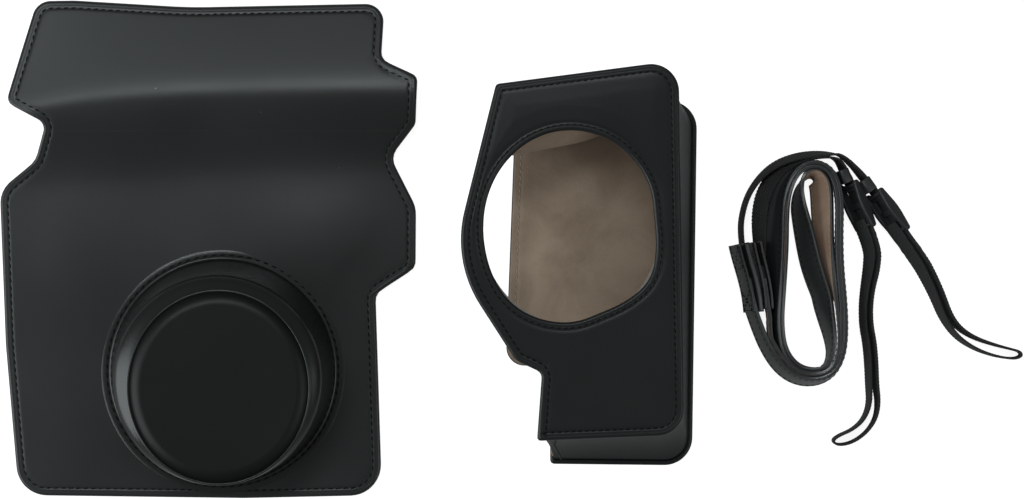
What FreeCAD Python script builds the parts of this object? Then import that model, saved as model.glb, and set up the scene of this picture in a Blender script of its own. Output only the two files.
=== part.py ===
"""Leather ever ready case for a wide instant camera, laid out flat: cover, half case and neck strap.

The frame: millimetres, +Z up from the table that the three pieces lie on, +X along the row from the
cover to the strap, +Y towards the cover's rear flap. The origin is at the middle of the row's box, at
table height. Every sub-part is one object of the document, and writes one STEP file.
"""

import FreeCAD, Part
import math
import os

from FreeCAD import Placement, Rotation, Vector

SIZES = {
    # sheet stock
    "leather_thick": 1.2,
    "board_thick": 2.0,
    "lining_thick": 0.8,
    "hem_gap": 0.1,
    # cover
    "fold_front_y": 42.0,
    "fold_rear_y": 77.0,
    "ridge_height": 13.0,
    "fold_gap": 2.0,
    "flap_end_y": 123.0,
    "cup_x": -115.5,
    "cup_y": -60.5,
    "cup_base_radius": 55.0,
    "cup_top_radius": 50.0,
    "cup_height": 44.0,
    "cup_rim_radius": 4.0,
    "cup_flange_radius": 61.0,
    "magnet_radius": 7.0,
    # half case
    "case_depth": 54.0,
    "hole_x": 57.0,
    "hole_y": 11.3,
    "hole_radius_x": 42.0,
    "hole_radius_y": 46.2,
    # neck strap
    "strap_width": 14.0,
    "strap_leather_thick": 1.2,
    "strap_suede_thick": 0.7,
    "turn_pitch": 2.15,
    "tab_length": 33.0,
    "webbing_width": 8.0,
    "webbing_thick": 1.2,
    "webbing_height": 2.6,
    "loop_gap": 3.0,
    "slider_length": 24.0,
    "slider_width": 7.2,
    "slider_end_width": 4.2,
    "slider_wall": 0.9,
    "slider_rail": 2.2,
    "slider_bar": 3.4,
    "slider_bar_thick": 1.1,
    "keeper_length": 7.0,
    "fit_gap": 0.35,
}

# Outlines are corners (x, y, corner radius), anticlockwise unless a comment says otherwise.
COVER_FRONT_LEFT = [(-227.2, 29.7, 14.0), (-224.2, -47.7, 60.0), (-217.7, -122.8, 15.5)]
COVER_FRONT_FOOT = [(-104.7, -124.2, 150.0), (-36.2, -122.8, 15.5)]
COVER_FRONT_RIGHT = [(-39.5, -22.2, 6.0), (-19.5, -9.2, 6.0), (-19.2, 21.2, 15.0)]
COVER_WAIST_LEFT = (-209.2, 44.2)
COVER_WAIST_RIGHT = (-32.0, 46.2)
COVER_TOP_LEFT = [(-204.2, 62.5, 5.0)]
COVER_TOP_RIGHT = [(-19.5, 62.8, 6.0)]
COVER_FLAP_RIGHT = [(-18.5, 86.7, 4.0), (-36.7, 95.0, 6.0), (-35.0, 122.0, 9.0)]
COVER_FLAP_LEFT = [(-132.2, 120.5, 250.0), (-189.7, 123.0, 50.0), (-208.7, 122.8, 9.0)]

FRONT_PANEL = [
    (21.0, 79.9, 2.0),
    (-0.3, -5.6, 58.0),
    (30.5, -53.5, 8.0),
    (43.2, -59.5, 4.0),
    (40.8, -92.4, 1.5),
    (111.9, -89.5, 13.0),
    (109.2, 91.4, 13.5),
]
BACK_PANEL = [
    (30.5, 73.0, 12.0),
    (25.6, -57.6, 9.0),
    (47.8, -58.5, 3.0),
    (47.8, -107.0, 2.0),
    (118.6, -107.8, 14.0),
    (121.2, 74.5, 14.0),
]
GUSSET_FRONT_LINE = [(22.8, 78.0, 0.0), (107.2, 89.1, 11.5), (109.9, -87.5, 11.0), (42.8, -90.2, 0.0)]
GUSSET_BACK_LINE = [(32.5, 71.0, 0.0), (119.2, 72.4, 12.0), (116.6, -105.7, 12.0), (49.8, -105.0, 0.0)]

# The neck strap is folded in half and rolled up, so both ends end side by side on the left.
# Middle line between its two halves, from the ends inwards, anticlockwise as seen from above.
ROLL_LINE = [
    (157.0, -46.5, 30.0),
    (170.0, -63.0, 15.0),
    (195.8, -63.5, 16.0),
    (193.3, 42.5, 13.0),
    (166.3, 42.5, 13.0),
    (162.0, -56.0, 16.5),
    (191.0, -59.0, 12.0),
    (190.4, -26.8, 60.0),
]
FOLD_LOOP = [(187.3, -6.3, 30.0), (187.3, 39.2, 6.2), (174.5, 39.2, 6.2), (175.8, 5.8, 35.0)]
# The straight last stretch of each end, from its last corner to its tip, which the end tab covers.
STRAP_ENDS = [((151.8, -38.0), (147.6, -19.0)), ((156.6, -36.0), (154.4, -18.0))]
TAB_STARTS = [4.0, 4.0]

# Each webbing leaves its tab, goes round the roll and through keeper and slider, makes the lug
# loop at its far end, and comes back into the slider.
WEBBING_ROUTES = [
    [
        (145.3, -8.6),
        (141.8, 7.0),
        (144.4, 23.5),
        (151.0, 35.8),
        (160.0, 44.6),
        (171.5, 49.2),
        (184.5, 50.2),
        (196.2, 46.8),
        (232.3, -3.9),
        (237.6, -13.2),
        (242.2, -22.6),
        (246.2, -32.6),
        (251.3, -39.3),
        (258.8, -44.0),
        (268.3, -47.3),
        (276.8, -49.5),
        (281.7, -50.7),
        (282.7, -53.0),
        (278.7, -54.6),
        (268.7, -53.0),
        (258.7, -49.3),
        (249.7, -43.2),
        (243.2, -34.0),
        (239.3, -24.0),
        (234.8, -14.6),
        (229.9, -5.6),
        (216.9, 12.6),
    ],
    [
        (153.2, -8.0),
        (151.3, 7.3),
        (152.8, 23.0),
        (156.8, 32.8),
        (164.0, 41.6),
        (172.8, 46.3),
        (181.8, 46.9),
        (190.4, 46.0),
        (195.6, 43.2),
        (212.2, 3.0),
        (209.9, -8.9),
        (207.6, -19.0),
        (206.6, -28.2),
        (206.9, -37.6),
        (208.6, -46.0),
        (209.5, -56.6),
        (209.9, -67.0),
        (211.2, -76.2),
        (210.0, -84.2),
        (205.4, -91.2),
        (198.3, -96.2),
        (191.2, -97.6),
        (188.2, -95.4),
        (191.2, -92.8),
        (198.0, -90.0),
        (203.8, -85.0),
        (206.9, -77.2),
        (206.6, -67.4),
        (206.3, -57.0),
        (205.4, -46.8),
        (203.7, -38.0),
        (203.5, -28.0),
        (204.6, -18.4),
        (206.9, -8.2),
        (209.4, 1.9),
        (203.9, 15.2),
    ],
]
# The run of each route that its keeper and slider sit on, and how far along it their middles are.
STRAIGHT_RUNS = [7, 8]
KEEPER_MIDDLES = [17.5, 7.4]
SLIDER_MIDDLES = [34.5, 23.6]


def make_sheet(doc):
    """Put every driving size in the spreadsheet, one row each, with its alias."""
    sheet = doc.addObject("Spreadsheet::Sheet", "Sizes")
    for row, (alias, value) in enumerate(SIZES.items(), start=1):
        sheet.set("A%d" % row, alias)
        sheet.set("B%d" % row, str(value))
        sheet.setAlias("B%d" % row, alias)
    doc.recompute()
    return sheet


def unit(vector):
    """The vector at length one."""
    length = vector.Length
    return Vector(vector.x / length, vector.y / length, 0)


def left_of(direction):
    """The unit vector to the left of a direction in the XY plane."""
    return Vector(-direction.y, direction.x, 0)


def rounded_edges(corners, closed=True):
    """Straight runs joined by tangent arcs: (start, end, arc) triples, arc None on a straight run."""
    points = [Vector(x, y, 0) for x, y, _ in corners]
    count = len(points)
    starts, ends, arcs = [], [], []
    for i, (_, _, radius) in enumerate(corners):
        if radius <= 0 or (not closed and i in (0, count - 1)):
            starts.append(points[i])
            ends.append(points[i])
            arcs.append(None)
            continue
        arriving = unit(points[i] - points[i - 1])
        leaving = unit(points[(i + 1) % count] - points[i])
        half_turn = arriving.getAngle(leaving) / 2
        reach = radius * math.tan(half_turn)
        centre = points[i] + unit(leaving - arriving) * (radius / math.cos(half_turn))
        starts.append(points[i] - arriving * reach)
        ends.append(points[i] + leaving * reach)
        arcs.append((centre, radius, turns_left(arriving, leaving)))
    edges = []
    for i in range(count):
        if arcs[i] is not None:
            edges.append((starts[i], ends[i], arcs[i]))
        if closed or i < count - 1:
            after = starts[(i + 1) % count]
            run = after - ends[i]
            if run.Length > 1e-6:
                if run * (points[(i + 1) % count] - points[i]) < 0:
                    raise ValueError("the arcs at corners %d and %d overlap" % (i, (i + 1) % count))
                edges.append((ends[i], after, None))
    return edges


def turns_left(before, after):
    """Whether a path that goes along before and then along after turns to its left."""
    return before.x * after.y - before.y * after.x > 0


def offset_line(corners, distance):
    """The same open line, moved to its left by distance: corners move along their bisectors."""
    points = [Vector(x, y, 0) for x, y, _ in corners]
    moved = []
    for i, (x, y, radius) in enumerate(corners):
        before = unit(points[i] - points[i - 1]) if i > 0 else None
        after = unit(points[i + 1] - points[i]) if i < len(points) - 1 else None
        if before is None or after is None:
            place = points[i] + left_of(before or after) * distance
            moved.append((place.x, place.y, 0.0))
            continue
        normal = left_of(before) + left_of(after)
        place = points[i] + normal * (2 * distance / normal.Length**2)
        grown = radius - distance if turns_left(before, after) else radius + distance
        moved.append((place.x, place.y, max(grown, 0.05) if radius > 0 else 0.0))
    return moved


def band_edges(line, left, right):
    """Closed outline of a band along an open line, from its left offset to its right offset."""
    one = rounded_edges(offset_line(line, left), closed=False)
    other = rounded_edges(list(reversed(offset_line(line, right))), closed=False)
    return one + [(one[-1][1], other[0][0], None)] + other + [(other[-1][1], one[0][0], None)]


def curve_of(edge):
    """The sketch geometry of one (start, end, arc) triple: arcs run anticlockwise in a sketch."""
    start, end, arc = edge
    if arc is None:
        return Part.LineSegment(start, end)
    centre, radius, is_left = arc
    first, last = (start, end) if is_left else (end, start)
    angles = [math.atan2(p.y - centre.y, p.x - centre.x) for p in (first, last)]
    return Part.ArcOfCircle(Part.Circle(centre, Vector(0, 0, 1), radius), *angles)


def new_body(doc, name):
    """An empty PartDesign body with its own label."""
    body = doc.addObject("PartDesign::Body", name)
    body.Label = name
    return body


def new_sketch(body, name, edges, height=0.0, plane="XY_Plane"):
    """A sketch on one of the body's origin planes, raised by height."""
    sketch = body.newObject("Sketcher::SketchObject", name)
    support = [f for f in body.Origin.OriginFeatures if f.Role == plane][0]
    sketch.AttachmentSupport = (support, [""])
    sketch.MapMode = "FlatFace"
    sketch.AttachmentOffset = Placement(Vector(0, 0, height), Rotation())
    for edge in edges:
        sketch.addGeometry(curve_of(edge) if isinstance(edge, tuple) else edge, False)
    return sketch


def pad(body, sketch, length_rule, name="Pad"):
    """Pad a sketch upwards by a length worked out in the spreadsheet's words."""
    feature = body.newObject("PartDesign::Pad", name)
    feature.Profile = sketch
    feature.setExpression("Length", length_rule)
    body.Tip = feature
    return feature


def pocket(body, sketch, depth_rule=None, name="Pocket"):
    """Cut a sketch upwards by a depth, or right through the body both ways when none is given."""
    feature = body.newObject("PartDesign::Pocket", name)
    feature.Profile = sketch
    if depth_rule is None:
        feature.Type = "ThroughAll"
        feature.Midplane = True
    else:
        feature.Reversed = True
        feature.setExpression("Length", depth_rule)
    body.Tip = feature
    return feature


def sheet_piece(doc, name, edges, thick_rule, height_rule="0 mm", holes=()):
    """A flat piece cut from sheet stock: its outline padded by its thickness, with any holes."""
    body = new_body(doc, name)
    pad(body, new_sketch(body, name + "_outline", edges), thick_rule)
    if holes:
        pocket(body, new_sketch(body, name + "_holes", holes))
    body.setExpression("Placement.Base.z", height_rule)
    return body


def turned_leather(doc, name, outline, v, holes=(), hem_holes=()):
    """Leather laid over a panel and turned down round its edge, and round hem_holes if given."""
    body = new_body(doc, name)
    core = "Sizes.lining_thick + Sizes.board_thick"
    pad(body, new_sketch(body, name + "_outline", rounded_edges(outline)), core + " + Sizes.leather_thick")
    inside = rounded_edges(inset(outline, v["leather_thick"])) + list(hem_holes)
    pocket(body, new_sketch(body, name + "_inside", inside), core, "Inside")
    if holes:
        pocket(body, new_sketch(body, name + "_holes", holes), name="Holes")
    return body


def circle(x, y, radius):
    """A whole circle in the XY plane."""
    return Part.Circle(Vector(x, y, 0), Vector(0, 0, 1), radius)


def inset(corners, distance):
    """A closed outline moved inwards by distance: each side moves, and the corners follow."""
    points = [Vector(x, y, 0) for x, y, _ in corners]
    count = len(points)
    moved = []
    for i, (x, y, radius) in enumerate(corners):
        before = unit(points[i] - points[i - 1])
        after = unit(points[(i + 1) % count] - points[i])
        normal = left_of(before) + left_of(after)
        place = points[i] + normal * (2 * distance / normal.Length**2)
        shrunk = radius - distance if turns_left(before, after) else radius + distance
        moved.append((place.x, place.y, max(shrunk, 0.4)))
    return moved


# ---------------------------------------------------------------- cover


def side_at(low, high, y):
    """The point at height y on the straight line between two corners."""
    share = (y - low[1]) / (high[1] - low[1])
    return low[0] + share * (high[0] - low[0])


def cover_front_outline(v):
    """The cover's front panel, below the front fold."""
    y = v["fold_front_y"] - v["fold_gap"] / 2
    left = side_at(COVER_FRONT_LEFT[0], COVER_WAIST_LEFT, y)
    right = side_at(COVER_FRONT_RIGHT[-1], COVER_WAIST_RIGHT, y)
    return [(left, y, 0.4)] + COVER_FRONT_LEFT + COVER_FRONT_FOOT + COVER_FRONT_RIGHT + [(right, y, 0.4)]


def unrolled(corners, fold_y, length_ratio):
    """Corners measured from a fold line along the sloping panel instead of along the table."""
    return [(x, (y - fold_y) * length_ratio, radius) for x, y, radius in corners]


def cover_top_outline(v):
    """The cover's top panel between its two folds, flat, with the front fold as its X axis."""
    low = v["fold_front_y"] + v["fold_gap"] / 2
    high = v["fold_rear_y"] - v["fold_gap"] / 2
    corners = [(COVER_WAIST_LEFT[0], low, 0.4), (COVER_WAIST_RIGHT[0], low, 0.4)]
    corners += COVER_TOP_RIGHT + [(-19.0, high, 0.4), (-224.2, high, 0.4)] + COVER_TOP_LEFT
    span = v["fold_rear_y"] - v["fold_front_y"]
    ratio = math.hypot(span, v["ridge_height"]) / span
    return unrolled(corners, v["fold_front_y"], ratio)


def cover_flap_outline(v):
    """The cover's rear flap, flat, with the rear fold as its X axis."""
    low = v["fold_rear_y"] + v["fold_gap"] / 2
    corners = [(-223.3, low, 0.4), (-18.8, low, 0.4)] + COVER_FLAP_RIGHT + COVER_FLAP_LEFT
    span = v["flap_end_y"] - v["fold_rear_y"]
    ratio = math.hypot(span, v["ridge_height"]) / span
    return unrolled(corners, v["fold_rear_y"], ratio)


def panel_stack(doc, prefix, outline, v, place, cuts=(), board_cuts=()):
    """Leather turned over a board and a lining: the three layers of one flat panel."""
    core = rounded_edges(inset(outline, v["leather_thick"] + v["hem_gap"]))
    leather = turned_leather(doc, prefix + "_leather", outline, v, cuts)
    lining = sheet_piece(doc, prefix + "_lining", core, "Sizes.lining_thick", holes=cuts)
    board = sheet_piece(doc, prefix + "_board", core, "Sizes.board_thick", holes=board_cuts)
    lining.setExpression("Placement.Base.z", None)
    board.setExpression("Placement.Base.z", None)
    leather.Placement = place
    lining.Placement = place
    board.Placement = place.multiply(Placement(Vector(0, 0, v["lining_thick"]), Rotation()))


def cover_front(doc, v):
    """The front panel with the round opening that the lens cup stands in."""
    x, y = v["cup_x"], v["cup_y"]
    panel_stack(
        doc, "cover_front", cover_front_outline(v), v, Placement(),
        cuts=[circle(x, y, v["cup_base_radius"] + v["hem_gap"])],
        board_cuts=[circle(x, y, v["cup_flange_radius"] + v["hem_gap"])],
    )


def cover_top(doc, v):
    """The top panel, which rises from the front fold to the ridge."""
    slope = math.degrees(math.atan2(v["ridge_height"], v["fold_rear_y"] - v["fold_front_y"]))
    place = Placement(Vector(0, v["fold_front_y"], 0), Rotation(Vector(1, 0, 0), slope))
    panel_stack(doc, "cover_top", cover_top_outline(v), v, place)


def magnet_centres():
    """Three hidden closing magnets along the rear flap, in the flap's own plane."""
    return [(x, 30.0) for x in (-190.0, -122.0, -54.0)]


def flap_place(v):
    """Where the rear flap lies: hung from the ridge, its far edge on the table."""
    run = v["flap_end_y"] - v["fold_rear_y"]
    slope = -math.degrees(math.atan2(v["ridge_height"], run))
    ridge = Vector(0, v["fold_rear_y"], v["ridge_height"])
    return Placement(ridge, Rotation(Vector(1, 0, 0), slope))


def cover_flap(doc, v):
    """The rear flap, with room in its board for the closing magnets."""
    seats = [circle(x, y, v["magnet_radius"] + v["hem_gap"]) for x, y in magnet_centres()]
    panel_stack(doc, "cover_flap", cover_flap_outline(v), v, flap_place(v), board_cuts=seats)


def disc_group(doc, name, centres, radius, thick, placement):
    """Identical flat discs as one node of separate solids."""
    discs = [Part.makeCylinder(radius, thick, Vector(x, y, 0)) for x, y in centres]
    node = doc.addObject("Part::Feature", name)
    node.Label = name
    node.Shape = Part.makeCompound(discs)
    node.Placement = placement
    return node


def cover_flap_magnets(doc, v):
    """The closing magnets, inside the flap's board."""
    place = flap_place(v).multiply(Placement(Vector(0, 0, v["lining_thick"]), Rotation()))
    return disc_group(
        doc, "cover_flap_magnets", magnet_centres(), v["magnet_radius"], v["board_thick"], place
    )


def revolved(doc, name, corners, v):
    """A round piece: a profile in radius and height turned about the lens cup's axis."""
    body = new_body(doc, name)
    points = [Vector(radius, height, 0) for radius, height in corners]
    edges = [Part.LineSegment(points[i - 1], points[i]) for i in range(len(points))]
    sketch = new_sketch(body, name + "_profile", edges, plane="XZ_Plane")
    turn = body.newObject("PartDesign::Revolution", "Revolution")
    turn.Profile = sketch
    turn.ReferenceAxis = (sketch, ["V_Axis"])
    turn.Angle = 360.0
    body.Tip = turn
    body.setExpression("Placement.Base.x", "Sizes.cup_x")
    body.setExpression("Placement.Base.y", "Sizes.cup_y")
    return body


def lens_cup(doc, v):
    """The domed cup over the lens: moulded wall with a sewn-in flange, lined, with a stiff face."""
    base, top = v["cup_base_radius"], v["cup_top_radius"]
    wall, lining = v["leather_thick"] + 0.4, v["lining_thick"]
    foot = v["lining_thick"]
    flange_top = foot + v["leather_thick"]
    shoulder = v["cup_height"] - v["cup_rim_radius"]
    face = v["cup_height"] - v["leather_thick"]
    flange = v["cup_flange_radius"]
    rim_inner = top - v["cup_rim_radius"]
    revolved(doc, "lens_cup_wall", [
        (base - wall, foot), (flange, foot), (flange, flange_top), (base, flange_top),
        (top, shoulder), (top - 1.2, v["cup_height"] - 1.2), (rim_inner, v["cup_height"]),
        (rim_inner, face), (top - wall - 0.6, face - 0.8), (top - wall, shoulder),
    ], v)
    revolved(doc, "lens_cup_wall_lining", [
        (base - wall - lining, foot), (base - wall, foot), (top - wall, shoulder),
        (top - wall, shoulder + 0.01), (top - wall - lining, shoulder + 0.01),
    ], v)
    revolved(doc, "lens_cup_face", [
        (0, face), (rim_inner, face), (rim_inner, v["cup_height"]), (0, v["cup_height"]),
    ], v)
    board_low = face - v["board_thick"]
    revolved(doc, "lens_cup_face_board", [
        (0, board_low), (rim_inner - 0.6, board_low), (rim_inner - 0.6, face), (0, face),
    ], v)
    revolved(doc, "lens_cup_face_lining", [
        (0, board_low - lining), (rim_inner - 0.6, board_low - lining),
        (rim_inner - 0.6, board_low), (0, board_low),
    ], v)


# ---------------------------------------------------------------- half case


def lens_hole(v, grown=0.0):
    """The oval opening for the lens barrel in the half case's front panel."""
    centre = Vector(v["hole_x"], v["hole_y"], 0)
    long_end = centre + Vector(0, v["hole_radius_y"] + grown, 0)
    short_end = centre + Vector(-v["hole_radius_x"] - grown, 0, 0)
    return Part.Ellipse(long_end, short_end, centre)


def half_front(doc, v):
    """Front panel of the half case at full depth, its leather turned round the edge and the opening."""
    panel = v["leather_thick"] + v["board_thick"] + v["lining_thick"]
    place = Placement(Vector(0, 0, v["case_depth"] - panel), Rotation())
    turned = lens_hole(v, v["leather_thick"])
    clear = lens_hole(v, v["leather_thick"] + v["hem_gap"])
    core = rounded_edges(inset(FRONT_PANEL, v["leather_thick"] + v["hem_gap"]))
    leather = turned_leather(doc, "half_front_leather", FRONT_PANEL, v, [lens_hole(v)], [turned])
    leather.Placement = place
    panel_rule = "Sizes.case_depth - Sizes.leather_thick - Sizes.board_thick"
    sheet_piece(doc, "half_front_board", core, "Sizes.board_thick", panel_rule, [clear])
    sheet_piece(
        doc, "half_front_lining", core, "Sizes.lining_thick", panel_rule + " - Sizes.lining_thick", [clear]
    )


def back_magnet_centres():
    """Three hidden closing plates along the outer long side of the back panel."""
    return [(107.0, y) for y in (50.0, -18.0, -86.0)]


def half_back(doc, v):
    """Back panel of the half case: leather under, then board with the closing plates, then lining."""
    seats = [circle(x, y, v["magnet_radius"] + v["hem_gap"]) for x, y in back_magnet_centres()]
    sheet_piece(
        doc, "half_back_leather", rounded_edges(BACK_PANEL), "Sizes.leather_thick", "0 mm"
    )
    sheet_piece(
        doc, "half_back_board", rounded_edges(inset(BACK_PANEL, v["leather_thick"])), "Sizes.board_thick",
        "Sizes.leather_thick", seats,
    )
    sheet_piece(
        doc, "half_back_lining", rounded_edges(BACK_PANEL), "Sizes.lining_thick",
        "Sizes.leather_thick + Sizes.board_thick",
    )
    place = Placement(Vector(0, 0, v["leather_thick"]), Rotation())
    disc_group(
        doc, "half_back_plates", back_magnet_centres(), v["magnet_radius"], v["board_thick"], place
    )


def gusset_layer(doc, name, v, outer, inner):
    """One layer of the wall round three sides of the half case, lofted from back line to front line."""
    panel = v["leather_thick"] + v["board_thick"] + v["lining_thick"]
    body = new_body(doc, name)
    low = new_sketch(body, name + "_back", band_edges(GUSSET_BACK_LINE, -outer, -inner), panel)
    high = new_sketch(
        body, name + "_front", band_edges(GUSSET_FRONT_LINE, -outer, -inner), v["case_depth"] - panel
    )
    loft = body.newObject("PartDesign::AdditiveLoft", "Loft")
    loft.Profile = low
    loft.Sections = [high]
    loft.Ruled = True
    body.Tip = loft
    return body


def half_gusset(doc, v):
    """Leather and lining of the wall between the two panels."""
    leather, lining = v["leather_thick"], v["lining_thick"]
    gusset_layer(doc, "half_gusset_leather", v, 0.0, leather)
    gusset_layer(doc, "half_gusset_lining", v, leather, leather + lining)


# ---------------------------------------------------------------- neck strap


def strap_line(v):
    """Middle line of the whole strap: outer half inwards, round the fold, inner half outwards."""
    half_pitch = v["turn_pitch"] / 2
    outer = offset_line([STRAP_ENDS[0][0] + (0.0,)] + ROLL_LINE + [FOLD_LOOP[0]], -half_pitch)
    inner = offset_line([STRAP_ENDS[1][0] + (0.0,)] + ROLL_LINE + [FOLD_LOOP[-1]], half_pitch)
    near = [STRAP_ENDS[0][1] + (0.0,), STRAP_ENDS[0][0] + (20.0,)]
    far = [STRAP_ENDS[1][0] + (20.0,), STRAP_ENDS[1][1] + (0.0,)]
    return near + outer[1:-1] + FOLD_LOOP + list(reversed(inner[1:-1])) + far


def strap_bands(doc, v):
    """Leather on the outside of the fold, suede on the inside, each one long band on its edge."""
    line = strap_line(v)
    leather, half = v["strap_leather_thick"], (v["strap_leather_thick"] + v["strap_suede_thick"]) / 2
    sheet_piece(doc, "strap_leather", band_edges(line, leather - half, -half), "Sizes.strap_width", "0 mm")
    sheet_piece(doc, "strap_lining", band_edges(line, half, leather - half), "Sizes.strap_width", "0 mm")


def along(start, end, distance, sideways=0.0):
    """The place that far from start towards end, moved sideways to the left, and the heading."""
    heading = unit(Vector(*end, 0) - Vector(*start, 0))
    point = Vector(*start, 0) + heading * distance + left_of(heading) * sideways
    return point, Rotation(Vector(0, 0, 1), math.degrees(math.atan2(heading.y, heading.x)))


def sleeve(doc, name, size_rules, way_rules, place):
    """A block with a straight way through it along its length; both sizes follow the sheet."""
    block = doc.addObject("Part::Box", name + "_block")
    way = doc.addObject("Part::Box", name + "_way")
    for box, rules in ((block, size_rules), (way, way_rules)):
        for side, rule in zip(("Length", "Width", "Height"), rules):
            box.setExpression(side, rule)
        doc.recompute()
    cut = doc.addObject("Part::Cut", name)
    cut.Label = name
    cut.Base, cut.Tool = block, way
    block.Placement.Base = Vector(-block.Length.Value / 2, -block.Width.Value / 2, 0)
    rise = (block.Height.Value - way.Height.Value) / 2
    way.Placement.Base = Vector(-way.Length.Value / 2, -way.Width.Value / 2, rise)
    cut.Placement = place
    return cut


def end_tabs(doc, v):
    """A leather patch on each side of the joint between strap and webbing, at both ends."""
    for number, ((corner, tip), start) in enumerate(zip(STRAP_ENDS, TAB_STARTS), start=1):
        middle, turn = along(corner, tip, start + v["tab_length"] / 2)
        gap = "Sizes.strap_leather_thick + Sizes.strap_suede_thick + 0.1"
        sleeve(
            doc, "strap_tab_%d" % number,
            ("Sizes.tab_length", gap + " + 2 * Sizes.leather_thick", "Sizes.strap_width"),
            ("Sizes.tab_length + 2", gap, "Sizes.strap_width + 2"),
            Placement(middle, turn),
        )


def cord_radii(route):
    """Corner radii of a cord's route: each arc as large as its two runs allow."""
    points = [Vector(x, y, 0) for x, y in route]
    radii = [0.0]
    for before, here, after in zip(points, points[1:], points[2:]):
        turn = (here - before).getAngle(after - here)
        radii.append(0.45 * min((here - before).Length, (after - here).Length) / math.tan(turn / 2))
    return radii + [0.0]


def webbings(doc, v):
    """The two narrow webbings, each one band on its edge along its own route."""
    half = v["webbing_thick"] / 2
    for number, route in enumerate(WEBBING_ROUTES, start=1):
        radii = cord_radii(route)
        line = [(x, y, radius) for (x, y), radius in zip(route, radii)]
        name = "webbing_%d" % number
        body = sheet_piece(
            doc, name, band_edges(line, half, -half), "Sizes.webbing_width", "Sizes.webbing_height"
        )
        doc.recompute()
        length = sum(curve_of(edge).toShape().Length for edge in rounded_edges(line, closed=False))
        section = v["webbing_thick"] * v["webbing_width"]
        print(name, "length %.1f" % length, "volume / (section x length) %.4f"
              % (body.Shape.Volume / (section * length)))
        print("  corner radii", [round(radius, 1) for radius in radii[1:-1]])


def keepers(doc, v):
    """The small plastic ring that holds each webbing, on its straight run."""
    for i, name in enumerate(("keeper_1", "keeper_2")):
        start, end = WEBBING_ROUTES[i][STRAIGHT_RUNS[i]:STRAIGHT_RUNS[i] + 2]
        middle, turn = along(start, end, KEEPER_MIDDLES[i])
        way_width = "Sizes.webbing_thick + 2 * Sizes.fit_gap"
        way_height = "Sizes.webbing_width + 2 * Sizes.fit_gap"
        keeper = sleeve(
            doc, name,
            ("Sizes.keeper_length", way_width + " + 2 * Sizes.slider_wall",
             way_height + " + 2 * Sizes.slider_wall"),
            ("Sizes.keeper_length + 2", way_width, way_height),
            Placement(middle, turn),
        )
        keeper.Placement.Base.z = v["webbing_height"] - v["fit_gap"] - v["slider_wall"]


def rail_outline(v):
    """A slider's long rail from the side: a leaf, widest in the middle, with blunt round ends."""
    half_length, half_width = v["slider_length"] / 2, v["slider_width"] / 2
    end = v["slider_end_width"] / 2
    return [
        (-half_length, -end, 1.0), (0.0, -half_width, 40.0), (half_length, -end, 1.0),
        (half_length, end, 1.0), (0.0, half_width, 40.0), (-half_length, end, 1.0),
    ]


def sliders(doc, v):
    """The webbing slider: two leaf-shaped rails joined by three bars that the webbing laps."""
    bar_half = v["slider_bar_thick"] / 2
    rise = v["webbing_height"] - v["fit_gap"] - v["slider_rail"]
    top = v["webbing_width"] + 2 * v["fit_gap"] + v["slider_rail"]
    reach = (v["slider_length"] - v["slider_bar"]) / 2 - 1.0
    for i, name in enumerate(("slider_1", "slider_2")):
        start, end = WEBBING_ROUTES[i][STRAIGHT_RUNS[i]:STRAIGHT_RUNS[i] + 2]
        middle, turn = along(start, end, SLIDER_MIDDLES[i], -v["loop_gap"] / 2)
        body = new_body(doc, name)
        low = new_sketch(body, name + "_lower_rail", rounded_edges(rail_outline(v)))
        pad(body, low, "Sizes.slider_rail", "LowerRail")
        for number, x in enumerate((-reach, 0.0, reach)):
            half = v["slider_bar"] / 2
            corners = [(x - half, -bar_half, 0), (x + half, -bar_half, 0),
                       (x + half, bar_half, 0), (x - half, bar_half, 0)]
            bar = new_sketch(body, name + "_bar_%d" % number, rounded_edges(corners))
            pad(body, bar, "Sizes.webbing_width + 2 * Sizes.fit_gap + 1.5 * Sizes.slider_rail",
                "Bar%d" % number)
        high = new_sketch(body, name + "_upper_rail", rounded_edges(rail_outline(v)), top)
        pad(body, high, "Sizes.slider_rail", "UpperRail")
        body.Placement = Placement(middle + Vector(0, 0, rise), turn)


# ---------------------------------------------------------------- document


PIECES = [
    "cover_front_lining", "cover_front_board", "cover_front_leather",
    "cover_top_lining", "cover_top_board", "cover_top_leather",
    "cover_flap_lining", "cover_flap_board", "cover_flap_leather", "cover_flap_magnets",
    "lens_cup_wall", "lens_cup_wall_lining",
    "lens_cup_face", "lens_cup_face_board", "lens_cup_face_lining",
    "half_front_leather", "half_front_board", "half_front_lining",
    "half_back_leather", "half_back_board", "half_back_lining", "half_back_plates",
    "half_gusset_leather", "half_gusset_lining",
    "strap_leather", "strap_lining", "strap_tab_1", "strap_tab_2",
    "webbing_1", "webbing_2", "keeper_1", "keeper_2", "slider_1", "slider_2",
]


def main():
    """Build the document, check every object, and write one STEP file for each sub-part."""
    doc = FreeCAD.newDocument("ever_ready_case")
    sheet = make_sheet(doc)
    v = {alias: float(sheet.get(alias)) for alias in SIZES}
    for build in (cover_front, cover_top, cover_flap, cover_flap_magnets, lens_cup, half_front,
                  half_back, half_gusset, strap_bands, end_tabs, webbings, keepers, sliders):
        build(doc, v)
    doc.recompute()
    for thing in doc.Objects:
        if {"Invalid", "Error"} & set(thing.State):
            raise RuntimeError("%s failed: %s" % (thing.Name, thing.State))
    os.makedirs("parts", exist_ok=True)
    whole = FreeCAD.BoundBox()
    for label in PIECES:
        piece = doc.getObjectsByLabel(label)[0]
        if piece.Shape.isNull() or not piece.Shape.isValid():
            raise RuntimeError("%s has no valid shape" % label)
        piece.Shape.exportStep("parts/%s.step" % label)
        if not label.startswith("webbing"):
            whole.add(piece.Shape.BoundBox)
        print("%-22s %9.1f mm3  %d solids" % (label, piece.Shape.Volume, len(piece.Shape.Solids)))
    print("box without the webbings", whole)


main()
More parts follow.
